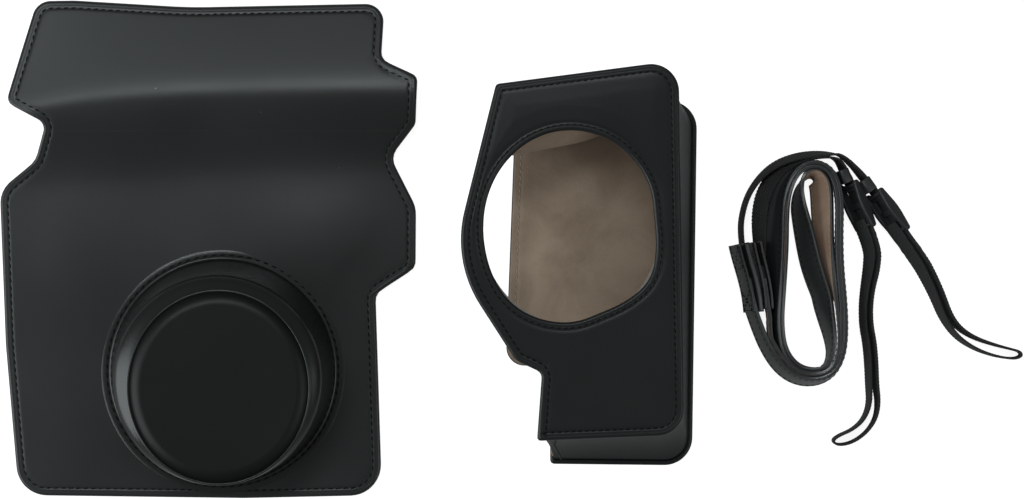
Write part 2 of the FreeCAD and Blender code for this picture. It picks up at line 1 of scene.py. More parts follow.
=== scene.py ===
"""Leather ever ready case laid out flat: the visual pieces, their finishes, the light and the camera.

Metres throughout the frame: +Z up from the table, +X from the cover towards the neck strap, +Y towards
the cover's rear flap. Panel outlines are listed in millimetres and scaled once, by MM.
"""

import math

import bmesh
import bpy
import numpy as np
from mathutils import Matrix, Vector


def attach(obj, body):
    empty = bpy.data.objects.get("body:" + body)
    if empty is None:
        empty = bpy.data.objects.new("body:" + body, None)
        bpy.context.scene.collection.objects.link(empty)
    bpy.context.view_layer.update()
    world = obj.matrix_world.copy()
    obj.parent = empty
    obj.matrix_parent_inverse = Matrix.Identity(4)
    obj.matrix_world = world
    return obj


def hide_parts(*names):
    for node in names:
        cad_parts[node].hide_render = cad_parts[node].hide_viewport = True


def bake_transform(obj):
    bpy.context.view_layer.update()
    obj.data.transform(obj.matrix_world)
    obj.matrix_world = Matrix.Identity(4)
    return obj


MM = 0.001

# Panel outlines: corners (x, y, corner radius) in millimetres, anticlockwise from above.
COVER = [
    (-208.3, 124.0, 9), (-222.4, 73.1, 5), (-202.7, 62.6, 5), (-208.8, 44.2, 12), (-226.9, 29.7, 14),
    (-223.9, -47.7, 60), (-217.4, -122.6, 15.5), (-104.6, -124.1, 150), (-36.2, -122.6, 15.5),
    (-39.4, -22.2, 6), (-19.4, -9.2, 6), (-19.2, 21.2, 15), (-31.9, 46.1, 8), (-19.2, 62.3, 6),
    (-18.1, 86.0, 4), (-36.3, 94.4, 6), (-34.9, 122.8, 9), (-132.0, 120.8, 250), (-189.4, 124.3, 50),
]
HALF_FRONT = [
    (21.0, 79.9, 2), (-0.3, -5.6, 58), (30.5, -53.5, 8), (43.2, -59.5, 4), (40.8, -92.4, 1.5),
    (111.9, -89.5, 13), (109.2, 91.4, 13.5),
]
HALF_BACK = [
    (30.5, 73.0, 12), (25.6, -57.6, 9), (47.8, -58.5, 3), (47.8, -107.0, 2), (118.6, -107.8, 14),
    (121.2, 74.5, 14),
]
BACK_SUEDE = [
    (30.9, 68.0, 9), (26.0, -57.2, 9), (48.2, -58.1, 3), (48.2, -103.5, 2), (114.0, -103.5, 11),
    (116.5, 70.0, 11),
]
GUSSET_FRONT = [(22.8, 78.0, 0), (107.2, 89.1, 11.5), (109.9, -87.5, 11), (42.8, -90.2, 0)]
GUSSET_BACK = [(32.5, 71.0, 0), (119.2, 72.4, 12), (116.6, -105.7, 12), (49.8, -105.0, 0)]

# Thicknesses, heights and places in millimetres. CUP is its foot's middle and CUP_LEAN how far its top
# is set off. FACE_SHIFT and the share FACE_NARROWING are those of the cup's flat face. HOLE is the lens
# opening's middle and half sizes. SEAM_INSET is from edge to stitches, PITCH from stitch to stitch.
PANEL = 4.0
LINING = 0.8
CASE_DEPTH = 54.0
COVER_SPLIT_Y = 59.0
FLAP_END_Y = 123.0
RIDGE = 13.0
CUP = (-115.5, -60.5)
CUP_HEIGHT = 44.0
CUP_LEAN = (0.7, -3.5)
FACE_SHIFT = (1.0, -3.0)
FACE_NARROWING = 0.06
HOLE = (57.0, 11.3, 42.0, 46.2)
STRAP_WIDTH = 14.0
STRAP_HALF_THICK = 0.95
WEB_WIDTH = 8.0
WEB_THICK = 1.2
SEAM_INSET = 3.9
PITCH = 3.3

# Metres between the points along a panel's outline, and along a line of stitches.
PLAN_STEP = 1.3 * MM
STITCH_LINE_STEP = 0.5 * MM

COOL_WHITE = (0.93, 1.0, 1.0)

# The two webbings: points in metres, and the lean of the webbing at each point, in degrees.
WEBBING_1 = [
    (0.1453, -0.0086, 0.0066), (0.1418, 0.0070, 0.0055), (0.1444, 0.0235, 0.0050),
    (0.1506, 0.0345, 0.0050), (0.1594, 0.0424, 0.0052), (0.1710, 0.0466, 0.0056),
    (0.1842, 0.0480, 0.0060), (0.1962, 0.0468, 0.0066), (0.2323, -0.0039, 0.0066),
    (0.2376, -0.0132, 0.0062), (0.2422, -0.0226, 0.0056), (0.2462, -0.0326, 0.0050),
    (0.2513, -0.0393, 0.0045), (0.2588, -0.0440, 0.0042), (0.2683, -0.0473, 0.0042),
    (0.2768, -0.0495, 0.0042), (0.2817, -0.0507, 0.0042), (0.2827, -0.0530, 0.0042),
    (0.2787, -0.0546, 0.0042), (0.2687, -0.0530, 0.0042), (0.2587, -0.0493, 0.0042),
    (0.2497, -0.0432, 0.0045), (0.2432, -0.0340, 0.0050), (0.2393, -0.0240, 0.0056),
    (0.2348, -0.0146, 0.0062), (0.2299, -0.0056, 0.0066), (0.2169, 0.0126, 0.0066),
]
LEAN_1 = [10, 12, 12, 14, 22, 26, 18, -16, -42, -34, -26, -20, -14, -8, -4, 0, 0, 0, 0, 2, 6, 12, 18,
          24, 30, 38, 42]
WEBBING_2 = [
    (0.1528, -0.0080, 0.0066), (0.1516, 0.0080, 0.0056), (0.1524, 0.0225, 0.0050),
    (0.1562, 0.0325, 0.0050), (0.1630, 0.0412, 0.0052), (0.1728, 0.0463, 0.0056),
    (0.1818, 0.0469, 0.0060), (0.1888, 0.0458, 0.0063), (0.1930, 0.0424, 0.0066),
    (0.2096, 0.0022, 0.0066), (0.2099, -0.0089, 0.0062), (0.2076, -0.0190, 0.0056),
    (0.2066, -0.0282, 0.0050), (0.2069, -0.0376, 0.0045), (0.2086, -0.0460, 0.0043),
    (0.2095, -0.0566, 0.0042), (0.2099, -0.0670, 0.0042), (0.2112, -0.0762, 0.0042),
    (0.2100, -0.0842, 0.0042), (0.2054, -0.0912, 0.0042), (0.1983, -0.0962, 0.0042),
    (0.1912, -0.0976, 0.0042), (0.1882, -0.0954, 0.0042), (0.1912, -0.0928, 0.0042),
    (0.1980, -0.0900, 0.0042), (0.2038, -0.0850, 0.0042), (0.2069, -0.0772, 0.0042),
    (0.2066, -0.0674, 0.0042), (0.2063, -0.0570, 0.0042), (0.2054, -0.0468, 0.0043),
    (0.2037, -0.0380, 0.0045), (0.2035, -0.0280, 0.0050), (0.2046, -0.0184, 0.0056),
    (0.2064, -0.0082, 0.0062), (0.2070, 0.0010, 0.0066), (0.2013, 0.0144, 0.0066),
]
LEAN_2 = [20, 62, 74, 70, 56, 38, 20, 0, -28, -42, -26, -20, -18, -18, -18, -18, -16, -10, -4, 0, 0, 0,
          0, 0, 0, 4, 10, 16, 18, 18, 18, 20, 24, 34, 42, 45]

# The leather strap, folded in half and rolled: middle line between its halves, from the ends inwards,
# as x, y and lean in degrees.
ROLL = [
    (155.3, -42.2, -17), (159.8, -51.0, -19), (166.0, -58.4, -20), (173.0, -62.4, -19),
    (181.5, -63.2, -14), (188.4, -60.0, -8), (192.4, -52.5, -5), (193.6, -40.0, -4), (192.9, -25.0, -4),
    (191.2, -8.0, -4), (190.9, 8.0, -4), (191.5, 25.0, -4), (188.2, 38.8, -3), (179.0, 43.6, -3),
    (169.8, 39.0, -8), (165.4, 28.0, -26), (164.7, 16.0, -36), (164.7, 3.0, -38), (163.8, -10.0, -30),
    (162.6, -24.0, -18), (161.8, -36.0, -16), (163.2, -49.0, -18), (169.0, -57.6, -19),
    (177.0, -60.6, -17), (185.4, -59.6, -14), (189.8, -52.0, -10), (190.2, -42.0, -8),
    (189.4, -34.0, -7), (188.9, -27.5, -6),
]
# The fold between the halves, as a drop-shaped loop: x, y and lean of the strap.
FOLD = [
    (189.0, -20.0, 4), (188.4, -8.0, 20), (188.0, 6.0, 36), (188.1, 20.0, 44), (187.9, 31.5, 45),
    (184.8, 39.0, 41), (179.4, 41.2, 34), (173.6, 38.6, 18), (172.2, 31.0, -6), (173.8, 23.0, -24),
    (176.5, 15.0, -32), (179.1, 6.0, -38), (182.0, -5.5, -42), (185.2, -16.0, -40), (187.3, -22.5, -36),
]
STRAP_END_1 = [(146.4, -14.0), (148.5, -24.0), (151.0, -34.0)]
STRAP_END_2 = [(157.4, -38.0), (156.0, -29.0), (153.9, -14.0)]
# Millimetres from that middle line to the middle of either half.
HALF_PITCH = 0.96


# ---- meshes


def grid_faces(rows, columns, wrap_rows=False, wrap_columns=True):
    """Quads of a grid of points, and each quad corner's own (row, column), unwrapped."""
    r, c = np.meshgrid(
        np.arange(rows if wrap_rows else rows - 1),
        np.arange(columns if wrap_columns else columns - 1),
        indexing="ij",
    )
    corner_rows = np.stack([r, r, r + 1, r + 1], axis=-1).reshape(-1, 4)
    corner_columns = np.stack([c, c + 1, c + 1, c], axis=-1).reshape(-1, 4)
    return (corner_rows % rows) * columns + corner_columns % columns, corner_rows, corner_columns


def new_object(name, data):
    """An object in the scene that shows the data."""
    made = bpy.data.objects.new(name, data)
    bpy.context.scene.collection.objects.link(made)
    return made


def make_piece(name, points, faces, finish, nodes=(), body=None, uv=None, edge=None):
    """A smooth mesh of points and quads with its finish, for frame nodes and on a body."""
    material, slot = finish
    mesh = bpy.data.meshes.new(name)
    mesh.from_pydata(points.reshape(-1, 3).tolist(), [], faces.tolist())
    if uv is not None:
        mesh.uv_layers.new(name="Along").data.foreach_set("uv", uv.ravel())
    if edge is not None:
        mesh.attributes.new("edge", "FLOAT", "POINT").data.foreach_set("value", edge)
    work = bmesh.new()
    work.from_mesh(mesh)
    bmesh.ops.remove_doubles(work, verts=work.verts, dist=1e-6)
    bmesh.ops.recalc_face_normals(work, faces=work.faces)
    for face in work.faces:
        face.smooth = True
    work.to_mesh(mesh)
    work.free()
    mesh.materials.append(material)
    piece = new_object(name, mesh)
    if nodes:
        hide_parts(*nodes)
    if body:
        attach(piece, body)
    return piece


def ring_piece(name, points, finish, nodes, body):
    """A piece from a grid that wraps round both ways."""
    faces, _, _ = grid_faces(*points.shape[:2], wrap_rows=True)
    return make_piece(name, points, faces, finish, nodes, body)


def shell_piece(name, top, bottom, finish, nodes, body=None, edge=None, wrap=False):
    """A piece between two grids over one plan; edge values are the same on both."""
    points, faces = closed_shell(top, bottom, wrap)
    both = None if edge is None else np.tile(edge.ravel(), 2)
    return make_piece(name, points, faces, finish, nodes, body, edge=both)


def unit(vectors):
    """The vectors made one long."""
    return vectors / np.linalg.norm(vectors, axis=-1, keepdims=True)


def right_of(travel):
    """Plan vectors turned a quarter to the right."""
    return np.stack([travel[..., 1], -travel[..., 0]], axis=-1)


def at_places(line, along, places):
    """The line's points at places measured along it."""
    return np.stack([np.interp(places, along, line[:, k]) for k in range(line.shape[1])], axis=-1)


def closed_shell(top, bottom, wrap=False):
    """Points and quads of the space between two grids over one plan, with a wall round each edge.

    Where the columns wrap round, the first row and the last row each get a wall.
    """
    rows, columns = top.shape[:2]
    faces, _, _ = grid_faces(rows, columns, wrap_columns=wrap)
    number = np.arange(rows * columns).reshape(rows, columns)
    if wrap:
        rims = [np.append(number[0], number[0, 0]), np.append(number[-1], number[-1, 0])]
    else:
        rims = [np.concatenate([number[0], number[1:, -1], number[-1, -2::-1], number[-2::-1, 0]])]
    shift = rows * columns
    walls = [np.stack([rim[:-1], rim[:-1] + shift, rim[1:] + shift, rim[1:]], axis=-1) for rim in rims]
    points = np.concatenate([top.reshape(-1, 3), bottom.reshape(-1, 3)])
    return points, np.concatenate([faces, faces[:, ::-1] + shift] + walls)


def smooth_line(points, steps=24):
    """The points that a NURBS spline of order 3 passes, given its control points."""
    curve = bpy.data.curves.new("guide", "CURVE")
    curve.dimensions = "3D"
    curve.resolution_u = steps
    spline = curve.splines.new("NURBS")
    spline.points.add(len(points) - 1)
    spline.points.foreach_set("co", np.insert(np.array(points, float), 3, 1.0, axis=1).ravel())
    spline.order_u = 3
    spline.use_endpoint_u = True
    guide = bpy.data.objects.new("guide", curve)
    mesh = bpy.data.meshes.new_from_object(guide)
    line = np.empty(len(mesh.vertices) * 3)
    mesh.vertices.foreach_get("co", line)
    bpy.data.meshes.remove(mesh)
    bpy.data.objects.remove(guide)
    bpy.data.curves.remove(curve)
    return line.reshape(-1, 3)


def lengths_along(line):
    """Distance from the line's start to each of its points."""
    return np.append(0.0, np.cumsum(np.linalg.norm(np.diff(line, axis=0), axis=1)))


def evenly(line, step):
    """The line's points again, an even step apart."""
    along = lengths_along(line)
    return at_places(line, along, np.linspace(0.0, along[-1], max(int(round(along[-1] / step)), 2) + 1))


def rounded_path(corners, closed=True, per_arc=14):
    """Straight runs joined by tangent arcs, in metres, from corners in millimetres."""
    spots = [np.array(corner[:2], float) * MM for corner in corners]
    path = []
    for i, (_, _, radius) in enumerate(corners):
        here, before, after = spots[i], spots[i - 1], spots[(i + 1) % len(spots)]
        if radius == 0 or (not closed and i in (0, len(corners) - 1)):
            path.append(here[None])
            continue
        arriving, leaving = unit(here - before), unit(after - here)
        half = math.acos(np.clip(arriving @ leaving, -1, 1)) / 2
        middle = here + unit(leaving - arriving) * radius * MM / math.cos(half)
        share = np.linspace(-half, half, per_arc)[:, None]
        round_middle = np.cos(share) * unit(here - middle) + np.sin(share) * unit(arriving + leaving)
        path.append(middle + radius * MM * round_middle)
    return np.concatenate(path)


def closed_evenly(path, step):
    """A closed outline with even steps, its first point not repeated."""
    return evenly(np.concatenate([path, path[:1]]), step)[:-1]


def edge_distance(points, outline):
    """Distance in millimetres from each plan point to the nearest stretch of a closed outline."""
    ends = np.roll(outline, -1, axis=0)
    runs = ends - outline
    squares = (runs**2).sum(-1)
    result = []
    for part in np.array_split(points.reshape(-1, 1, 2), 24):
        share = np.clip(((part - outline) * runs).sum(-1) / squares, 0, 1)
        gap = part - outline - share[..., None] * runs
        result.append(np.sqrt((gap**2).sum(-1).min(axis=1)))
    return np.concatenate(result).reshape(points.shape[:-1]) / MM


def edge_steps(width, gap):
    """Shares 0 to 1 across a width in millimetres, close together where the rolled edges are."""
    near = np.array([0, 0.12, 0.35, 0.7, 1.1, 1.6, 2.1, 2.5, 2.9, 3.4, 3.8, 4.2, 4.6, 5.1, 5.8, 7, 9])
    far = np.linspace(near[-1], width - near[-1], max(int(width / gap), 2))
    return np.concatenate([near[:-1], far, width - near[-2::-1]]) / width


def bell(value, middle, spread):
    """A bell shape, 1 at its middle: exp(-((value - middle) / spread)^2)."""
    return np.exp(-(((value - middle) / spread) ** 2))


def rolled(distance, radius):
    """Height lost towards an edge, in millimetres: a quarter round of that radius."""
    share = 1 - np.clip(distance / radius, 0, 1)
    return radius * (1 - np.sqrt(1 - share**2))


def bead_and_groove(distance):
    """The turned edge: a bead 2 mm wide, a crease behind it, and a seat pressed in by the stitches."""
    crease, seat = 0.10 * bell(distance, 2.2, 0.35), 0.22 * bell(distance, SEAM_INSET, 0.6)
    return rolled(distance, 1.5) + crease + seat


def with_height(plan, height):
    """Plan points in metres and heights in millimetres as points in space."""
    rise = np.broadcast_to(height, plan.shape[:-1]) * MM
    return np.concatenate([plan, rise[..., None]], axis=-1)


def inner_line(outline, distance):
    """A closed outline moved to its inside by a distance in millimetres."""
    travel = unit(np.roll(outline, -1, axis=0) - np.roll(outline, 1, axis=0))
    return outline - right_of(travel) * distance * MM


def level_loop(row, height):
    """A closed plan line at one height in millimetres, its first point repeated."""
    return with_height(np.concatenate([row, row[:1]]), height)


# ---- stitches


def stitch_row(name, line, pitch, finish, body=None, length=2.7, thick=0.85, up=(0, 0, 1), slant=8.0):
    """A row of stitches along a line: each a spindle, half sunk, slanted a little from the row.

    A spindle's radius is thick / 2 times (1 - |x|^3) along its length, x from -1 to 1.
    """
    along = lengths_along(line)
    count = int(along[-1] / (pitch * MM))
    places = (np.arange(count) + 0.5) * along[-1] / count
    near = 0.4 * MM
    travel = unit(at_places(line, along, places + near) - at_places(line, along, places - near))
    side = unit(np.cross(np.broadcast_to(np.array(up, float), travel.shape), travel))
    rise = np.cross(travel, side)
    cos, sin = math.cos(math.radians(slant)), math.sin(math.radians(slant))
    x = np.array([-1, -0.9, -0.5, 0, 0.5, 0.9, 1.0])[:, None]
    angle = np.arange(6)[None] * math.pi / 3
    radius = thick / 2 * (1 - np.abs(x) ** 3)
    spindle = np.stack([
        np.broadcast_to(x * length / 2, (7, 6)), radius * np.cos(angle), radius * np.sin(angle) * 0.8,
    ], axis=-1) * MM
    points = at_places(line, along, places)[:, None, None]
    for k, direction in enumerate((travel * cos + side * sin, side * cos - travel * sin, rise)):
        points = points + spindle[None, ..., k:k + 1] * direction[:, None, None]
    faces, _, _ = grid_faces(*spindle.shape[:2])
    faces = (faces[None] + np.arange(count)[:, None, None] * x.size * angle.size).reshape(-1, 4)
    return make_piece(name, points, faces, finish, body=body)


# ---- finishes


def add_node(tree, kind, inputs=None, **settings):
    """A node with its settings, and each input either set to a value or linked from a socket."""
    node = tree.nodes.new(kind)
    for key, value in settings.items():
        setattr(node, key, value)
    for key, value in (inputs or {}).items():
        if isinstance(value, bpy.types.NodeSocket):
            tree.links.new(value, node.inputs[key])
        else:
            node.inputs[key].default_value = value
    return node


def new_group(name, inputs, outputs):
    """An empty node group with a position, float inputs and float outputs, and its two end nodes."""
    group = bpy.data.node_groups.new(name, "ShaderNodeTree")
    group.interface.new_socket("Position", in_out="INPUT", socket_type="NodeSocketVector")
    for label, value in inputs.items():
        socket = group.interface.new_socket(label, in_out="INPUT", socket_type="NodeSocketFloat")
        socket.default_value = value
    for label in outputs:
        group.interface.new_socket(label, in_out="OUTPUT", socket_type="NodeSocketFloat")
    return group, group.nodes.new("NodeGroupInput").outputs, group.nodes.new("NodeGroupOutput").inputs


def calc(tree, operation, *values):
    """One step of arithmetic on values and sockets."""
    return add_node(tree, "ShaderNodeMath", dict(enumerate(values)), operation=operation).outputs[0]


def noise(tree, place, scale, detail, roughness=0.5, distortion=0.0):
    """Cloudy noise, about 0 to 1."""
    return add_node(tree, "ShaderNodeTexNoise", {
        "Vector": place, "Scale": scale, "Detail": detail, "Roughness": roughness, "Distortion": distortion,
    }).outputs["Fac"]


def remapped(tree, value, from_low, from_high, low=0.0, high=1.0):
    """A value moved from one range to another and held inside it."""
    return add_node(tree, "ShaderNodeMapRange", {
        "Value": value, "From Min": from_low, "From Max": from_high, "To Min": low, "To Max": high,
    }).outputs[0]


def leather_grain_group():
    """Fine pebbled grain with soft creases: Height for bump, Tone for slow changes, Specks of dust."""
    group, given, result = new_group(
        "leather_grain", {"Pebble Scale": 1500.0, "Crease Scale": 60.0}, ["Height", "Tone", "Specks"]
    )
    place = given["Position"]
    pebbles = add_node(group, "ShaderNodeTexVoronoi", {"Vector": place, "Scale": given["Pebble Scale"]},
                       feature="SMOOTH_F1")
    low_pebbles = calc(group, "MULTIPLY", pebbles.outputs["Distance"], 0.5)
    creases = noise(group, place, given["Crease Scale"], 6.0, 0.62)
    group.links.new(calc(group, "ADD", low_pebbles, creases), result["Height"])
    group.links.new(noise(group, place, 9.0, 3.0), result["Tone"])
    dots = add_node(group, "ShaderNodeTexVoronoi", {"Vector": place, "Scale": 55.0})
    near = calc(group, "LESS_THAN", dots.outputs["Distance"], 0.016)
    pick = add_node(group, "ShaderNodeSeparateColor", {"Color": dots.outputs["Color"]})
    few = calc(group, "GREATER_THAN", pick.outputs[0], 0.72)
    group.links.new(calc(group, "MULTIPLY", near, few), result["Specks"])
    return group


def nap_group():
    """Brushed nap of suede: short fibres for bump, and soft patches where the nap lies another way."""
    group, given, result = new_group("suede_nap", {"Fibre Scale": 1400.0}, ["Height", "Patches"])
    place = given["Position"]
    group.links.new(noise(group, place, given["Fibre Scale"], 4.0, 0.7), result["Height"])
    group.links.new(noise(group, place, 38.0, 5.0, 0.6, 0.6), result["Patches"])
    return group


def weave_group():
    """Plain weave on a band: warp and weft threads pass over each other along its UV map."""
    group, given, result = new_group("webbing_weave", {"Threads": 1.0}, ["Height", "Warp"])
    split = add_node(group, "ShaderNodeSeparateXYZ", {"Vector": given["Position"]})
    waves = []
    for axis, pitch in (("X", 0.0013), ("Y", 0.0010)):
        turns = calc(group, "MULTIPLY", split.outputs[axis], 2 * math.pi / pitch)
        waves.append(calc(group, "SINE", calc(group, "MULTIPLY", turns, given["Threads"])))
    cross = calc(group, "MULTIPLY", *waves)
    group.links.new(calc(group, "MULTIPLY_ADD", cross, 0.5, 0.5), result["Height"])
    group.links.new(waves[1], result["Warp"])
    return group


def object_place(tree):
    """The place on the object, for patterns."""
    return add_node(tree, "ShaderNodeTexCoord").outputs["Object"]


def edge_value(tree):
    """The value that a mesh carries in its edge attribute."""
    return add_node(tree, "ShaderNodeAttribute", attribute_name="edge").outputs["Fac"]


def pattern(tree, group, place):
    """The results of a pattern group laid over the surface."""
    node = add_node(tree, "ShaderNodeGroup", node_tree=group)
    tree.links.new(place, node.inputs["Position"])
    return node.outputs


def mixed(tree, amount, below, above):
    """A colour between two, each a value or a socket, by an amount that changes over the surface."""
    first, second = [c if isinstance(c, bpy.types.NodeSocket) else (*c, 1.0) for c in (below, above)]
    return add_node(tree, "ShaderNodeMix", {"Factor": amount, 6: first, 7: second},
                    data_type="RGBA").outputs[2]


def dress(tree, shader, colour, height, depth, strength, **values):
    """Give a shader its colour, its bump, and other values by input name with spaces as underscores."""
    tree.links.new(colour, shader.inputs["Base Color"])
    bump = add_node(tree, "ShaderNodeBump", {"Height": height, "Distance": depth, "Strength": strength})
    tree.links.new(bump.outputs["Normal"], shader.inputs["Normal"])
    for label, value in values.items():
        shader.inputs[label.replace("_", " ")].default_value = value


def new_material(name):
    """A material with its Principled shader and its node tree."""
    material = bpy.data.materials.new(name)
    material.use_nodes = True
    return material, material.node_tree, material.node_tree.nodes["Principled BSDF"]


def leather(name, dark, light, roughness, grain, gloss=0.5, rim=False, specks=True):
    """Coated leather: fine grain, slow changes of tone and gloss, dust specks, and a paler worn rim."""
    material, tree, shader = new_material(name)
    grains = pattern(tree, grain, object_place(tree))
    colour = mixed(tree, grains["Tone"], dark, light)
    if rim:
        worn = remapped(tree, edge_value(tree), 0.0, 1.6, 0.45, 0.0)
        colour = mixed(tree, worn, colour, [2.2 * c for c in light])
    if specks:
        colour = mixed(tree, grains["Specks"], colour, (0.30, 0.30, 0.28))
    change, bump_depth, bump_strength = 0.05, 0.00025, 0.12
    polish = remapped(tree, grains["Tone"], 0.3, 0.7, roughness - change, roughness + change)
    tree.links.new(polish, shader.inputs["Roughness"])
    dress(tree, shader, colour, grains["Height"], bump_depth, bump_strength, Specular_IOR_Level=gloss)
    return material


def suede(name, dark, light, nap, painted_shade=False):
    """Microsuede: mottled nap with a soft sheen, and where asked painted shade, darker by the mesh's edge
    attribute.
    """
    material, tree, shader = new_material(name)
    naps = pattern(tree, nap, object_place(tree))
    colour = mixed(tree, remapped(tree, naps["Patches"], 0.3, 0.7), dark, light)
    # Painted shade: darker, down to 0.42 of the dark colour, by the amount the mesh's edge attribute
    # carries.
    if painted_shade:
        colour = mixed(tree, edge_value(tree), colour, [0.42 * c for c in dark])
    dress(tree, shader, colour, naps["Height"], 0.0004, 0.45, Roughness=0.95, Specular_IOR_Level=0.2,
          Sheen_Weight=0.12, Sheen_Roughness=0.5)
    return material


def thread(name, colour, gloss=0.5):
    """Waxed sewing thread: twisted plies as fine diagonal ridges, with painted shade in the grooves between
    them.
    """
    material, tree, shader = new_material(name)
    plies = add_node(tree, "ShaderNodeTexWave", {
        "Vector": object_place(tree), "Scale": 900.0, "Distortion": 1.0,
    }, bands_direction="DIAGONAL").outputs["Fac"]
    # Painted shade: the thread's colour falls to 0.6 where the plies sit low.
    dress(tree, shader, mixed(tree, plies, [0.6 * c for c in colour], colour), plies, 0.0001, 0.4,
          Roughness=0.6, Specular_IOR_Level=gloss)
    return material


def webbing_cloth(name, dark, light, weave):
    """Woven nylon webbing, from the weave along the band's own UV map, with painted shade where the weave
    sits low.
    """
    material, tree, shader = new_material(name)
    place = add_node(tree, "ShaderNodeUVMap", uv_map="Along").outputs["UV"]
    height = pattern(tree, weave, place)["Height"]
    # Painted shade: the dark colour where the weave sits low, the light one where it stands high.
    dress(tree, shader, mixed(tree, height, dark, light), height, 0.0003, 0.9, Roughness=0.62)
    return material


def moulded_plastic(name, colour):
    """Moulded nylon: a fine even texture with slow changes of tone."""
    material, tree, shader = new_material(name)
    place = object_place(tree)
    tone = mixed(tree, noise(tree, place, 120.0, 3.0), colour, [1.5 * c for c in colour])
    dress(tree, shader, tone, noise(tree, place, 2600.0, 2.0), 0.0001, 0.35, Roughness=0.42)
    return material


def plain_board(name, dark, light, scale):
    """Pressed board or sheet metal with mottled tone, for the hidden stiffeners and plates."""
    material, tree, shader = new_material(name)
    fibres = noise(tree, object_place(tree), scale, 6.0)
    dress(tree, shader, mixed(tree, fibres, dark, light), fibres, 0.0002, 0.3, Roughness=0.7)
    return material


def soft_corner(distance, width):
    """A bend from flat to a slope of one: w log(1 + exp(distance / w))."""
    return width * np.logaddexp(0, distance / width)


# ---- cover


def fold_height(plan):
    """Height in millimetres of the cover's underside: flat, valley, slope to the ridge, slope down.

    The slopes meet in soft corners. The ridge bends towards the waist at its left end, where it is
    also sharper.
    """
    x, y = plan[..., 0] / MM, plan[..., 1] / MM
    leftness = np.exp(-(x + 222.0) / 42.0)
    crest = 77.0 - 13.0 * leftness
    valley = 38.0 + 9.0 * (x + 227.0) / 208.0
    height = RIDGE * (1 - 0.22 * leftness)
    up = height / (crest - valley)
    down = -height / (FLAP_END_Y - crest)
    crest_width = 3.6 - 2.0 * np.clip(leftness, 0, 1)
    return up * soft_corner(y - valley, 3.2) + (down - up) * soft_corner(y - crest, crest_width)


def slow_waves(plan):
    """Shallow waves of the soft leather, in millimetres: two round swells, each a bell in x and y."""
    x, y = plan[..., 0] / MM, plan[..., 1] / MM
    front = 1 / (1 + np.exp((y - 30) / 8))
    return front * (0.5 * bell(x, -192, 26) * bell(y, -6, 36) + 1.3 * bell(x, -66, 28) * bell(y, 10, 30))


def stitch_run(loop, on_front):
    """The stretch of a closed stitch line on the cover's front or rear length, in one run."""
    ahead = loop[:, 1] < COVER_SPLIT_Y * MM
    run = loop[ahead if on_front else ~ahead]
    steps = np.linalg.norm(np.diff(run, axis=0), axis=1)
    return np.roll(run, -(np.argmax(steps) + 1), axis=0) if steps.max() > 0.005 else run


def side_of(outline, low, high, rising):
    """The stretch of an outline between two places, taken in the rising direction."""
    start, end = [np.argmin(np.linalg.norm(outline - np.array(place) * MM, axis=1))
                  for place in (low, high)]
    ordered = np.roll(outline, -start, axis=0) if rising else np.roll(outline[::-1], start + 1, axis=0)
    return ordered[:(end - start if rising else start - end) % len(outline) + 1]


def border_at(border, values, axis):
    """Points of a border at given values of one of its two coordinates."""
    order = np.argsort(border[:, axis])
    other = np.interp(values, border[order, axis], border[order, 1 - axis])
    return np.stack([other, values] if axis else [values, other], axis=-1)


def filled_patch(left, right, bottom, top, across, up):
    """Plan grid between four border lines: opposite borders blended, less the corners' own blend."""
    u, v = across[None, :, None], up[:, None, None]
    sides = (1 - u) * left[:, None] + u * right[:, None]
    ends = (1 - v) * bottom[None] + v * top[None]
    corners = (
        (1 - u) * (1 - v) * left[0] + u * (1 - v) * right[0] + (1 - u) * v * left[-1] + u * v * right[-1]
    )
    return sides + ends - corners


def cover_plans():
    """Plan grids of the cover's front part and rear part, which meet halfway up the top panel."""
    outline = closed_evenly(rounded_path(COVER), 0.4 * MM)
    foot_left, foot_right = (-212.5, -118.3), (-41.0, -118.3)
    top_left, top_right = (-206.8, 121.6), (-37.4, 120.6)
    left = side_of(outline, foot_left, top_left, rising=False)
    right = side_of(outline, foot_right, top_right, rising=True)
    foot = side_of(outline, foot_left, foot_right, rising=True)
    head = side_of(outline, top_left, top_right, rising=False)
    split, mean_width = COVER_SPLIT_Y * MM, 190.0
    plans = []
    for on_front, gap in ((True, 2.6), (False, 2.0)):    # gap: millimetres between points
        spans = [(side[0, 1], split) if on_front else (split, side[-1, 1]) for side in (left, right)]
        up = edge_steps((spans[0][1] - spans[0][0]) / MM, gap)
        across = edge_steps(mean_width, gap)
        left_side, right_side = [border_at(side, start + up * (end - start), 1)
                                 for side, (start, end) in zip((left, right), spans)]
        bottom, top = [left_side[k] + across[:, None] * (right_side[k] - left_side[k]) for k in (0, -1)]
        if on_front:
            bottom = border_at(foot, bottom[:, 0], 0)
        else:
            top = border_at(head, top[:, 0], 0)
        plans.append(filled_patch(left_side, right_side, bottom, top, across, up))
    return outline, plans


def cover_surface(plan, distance):
    """Height of the cover's outer face: fold shape, waves, and the rolled and stitched edge."""
    inside = np.clip(distance / 25.0, 0, 1)
    return fold_height(plan) + PANEL + slow_waves(plan) * inside - bead_and_groove(distance)


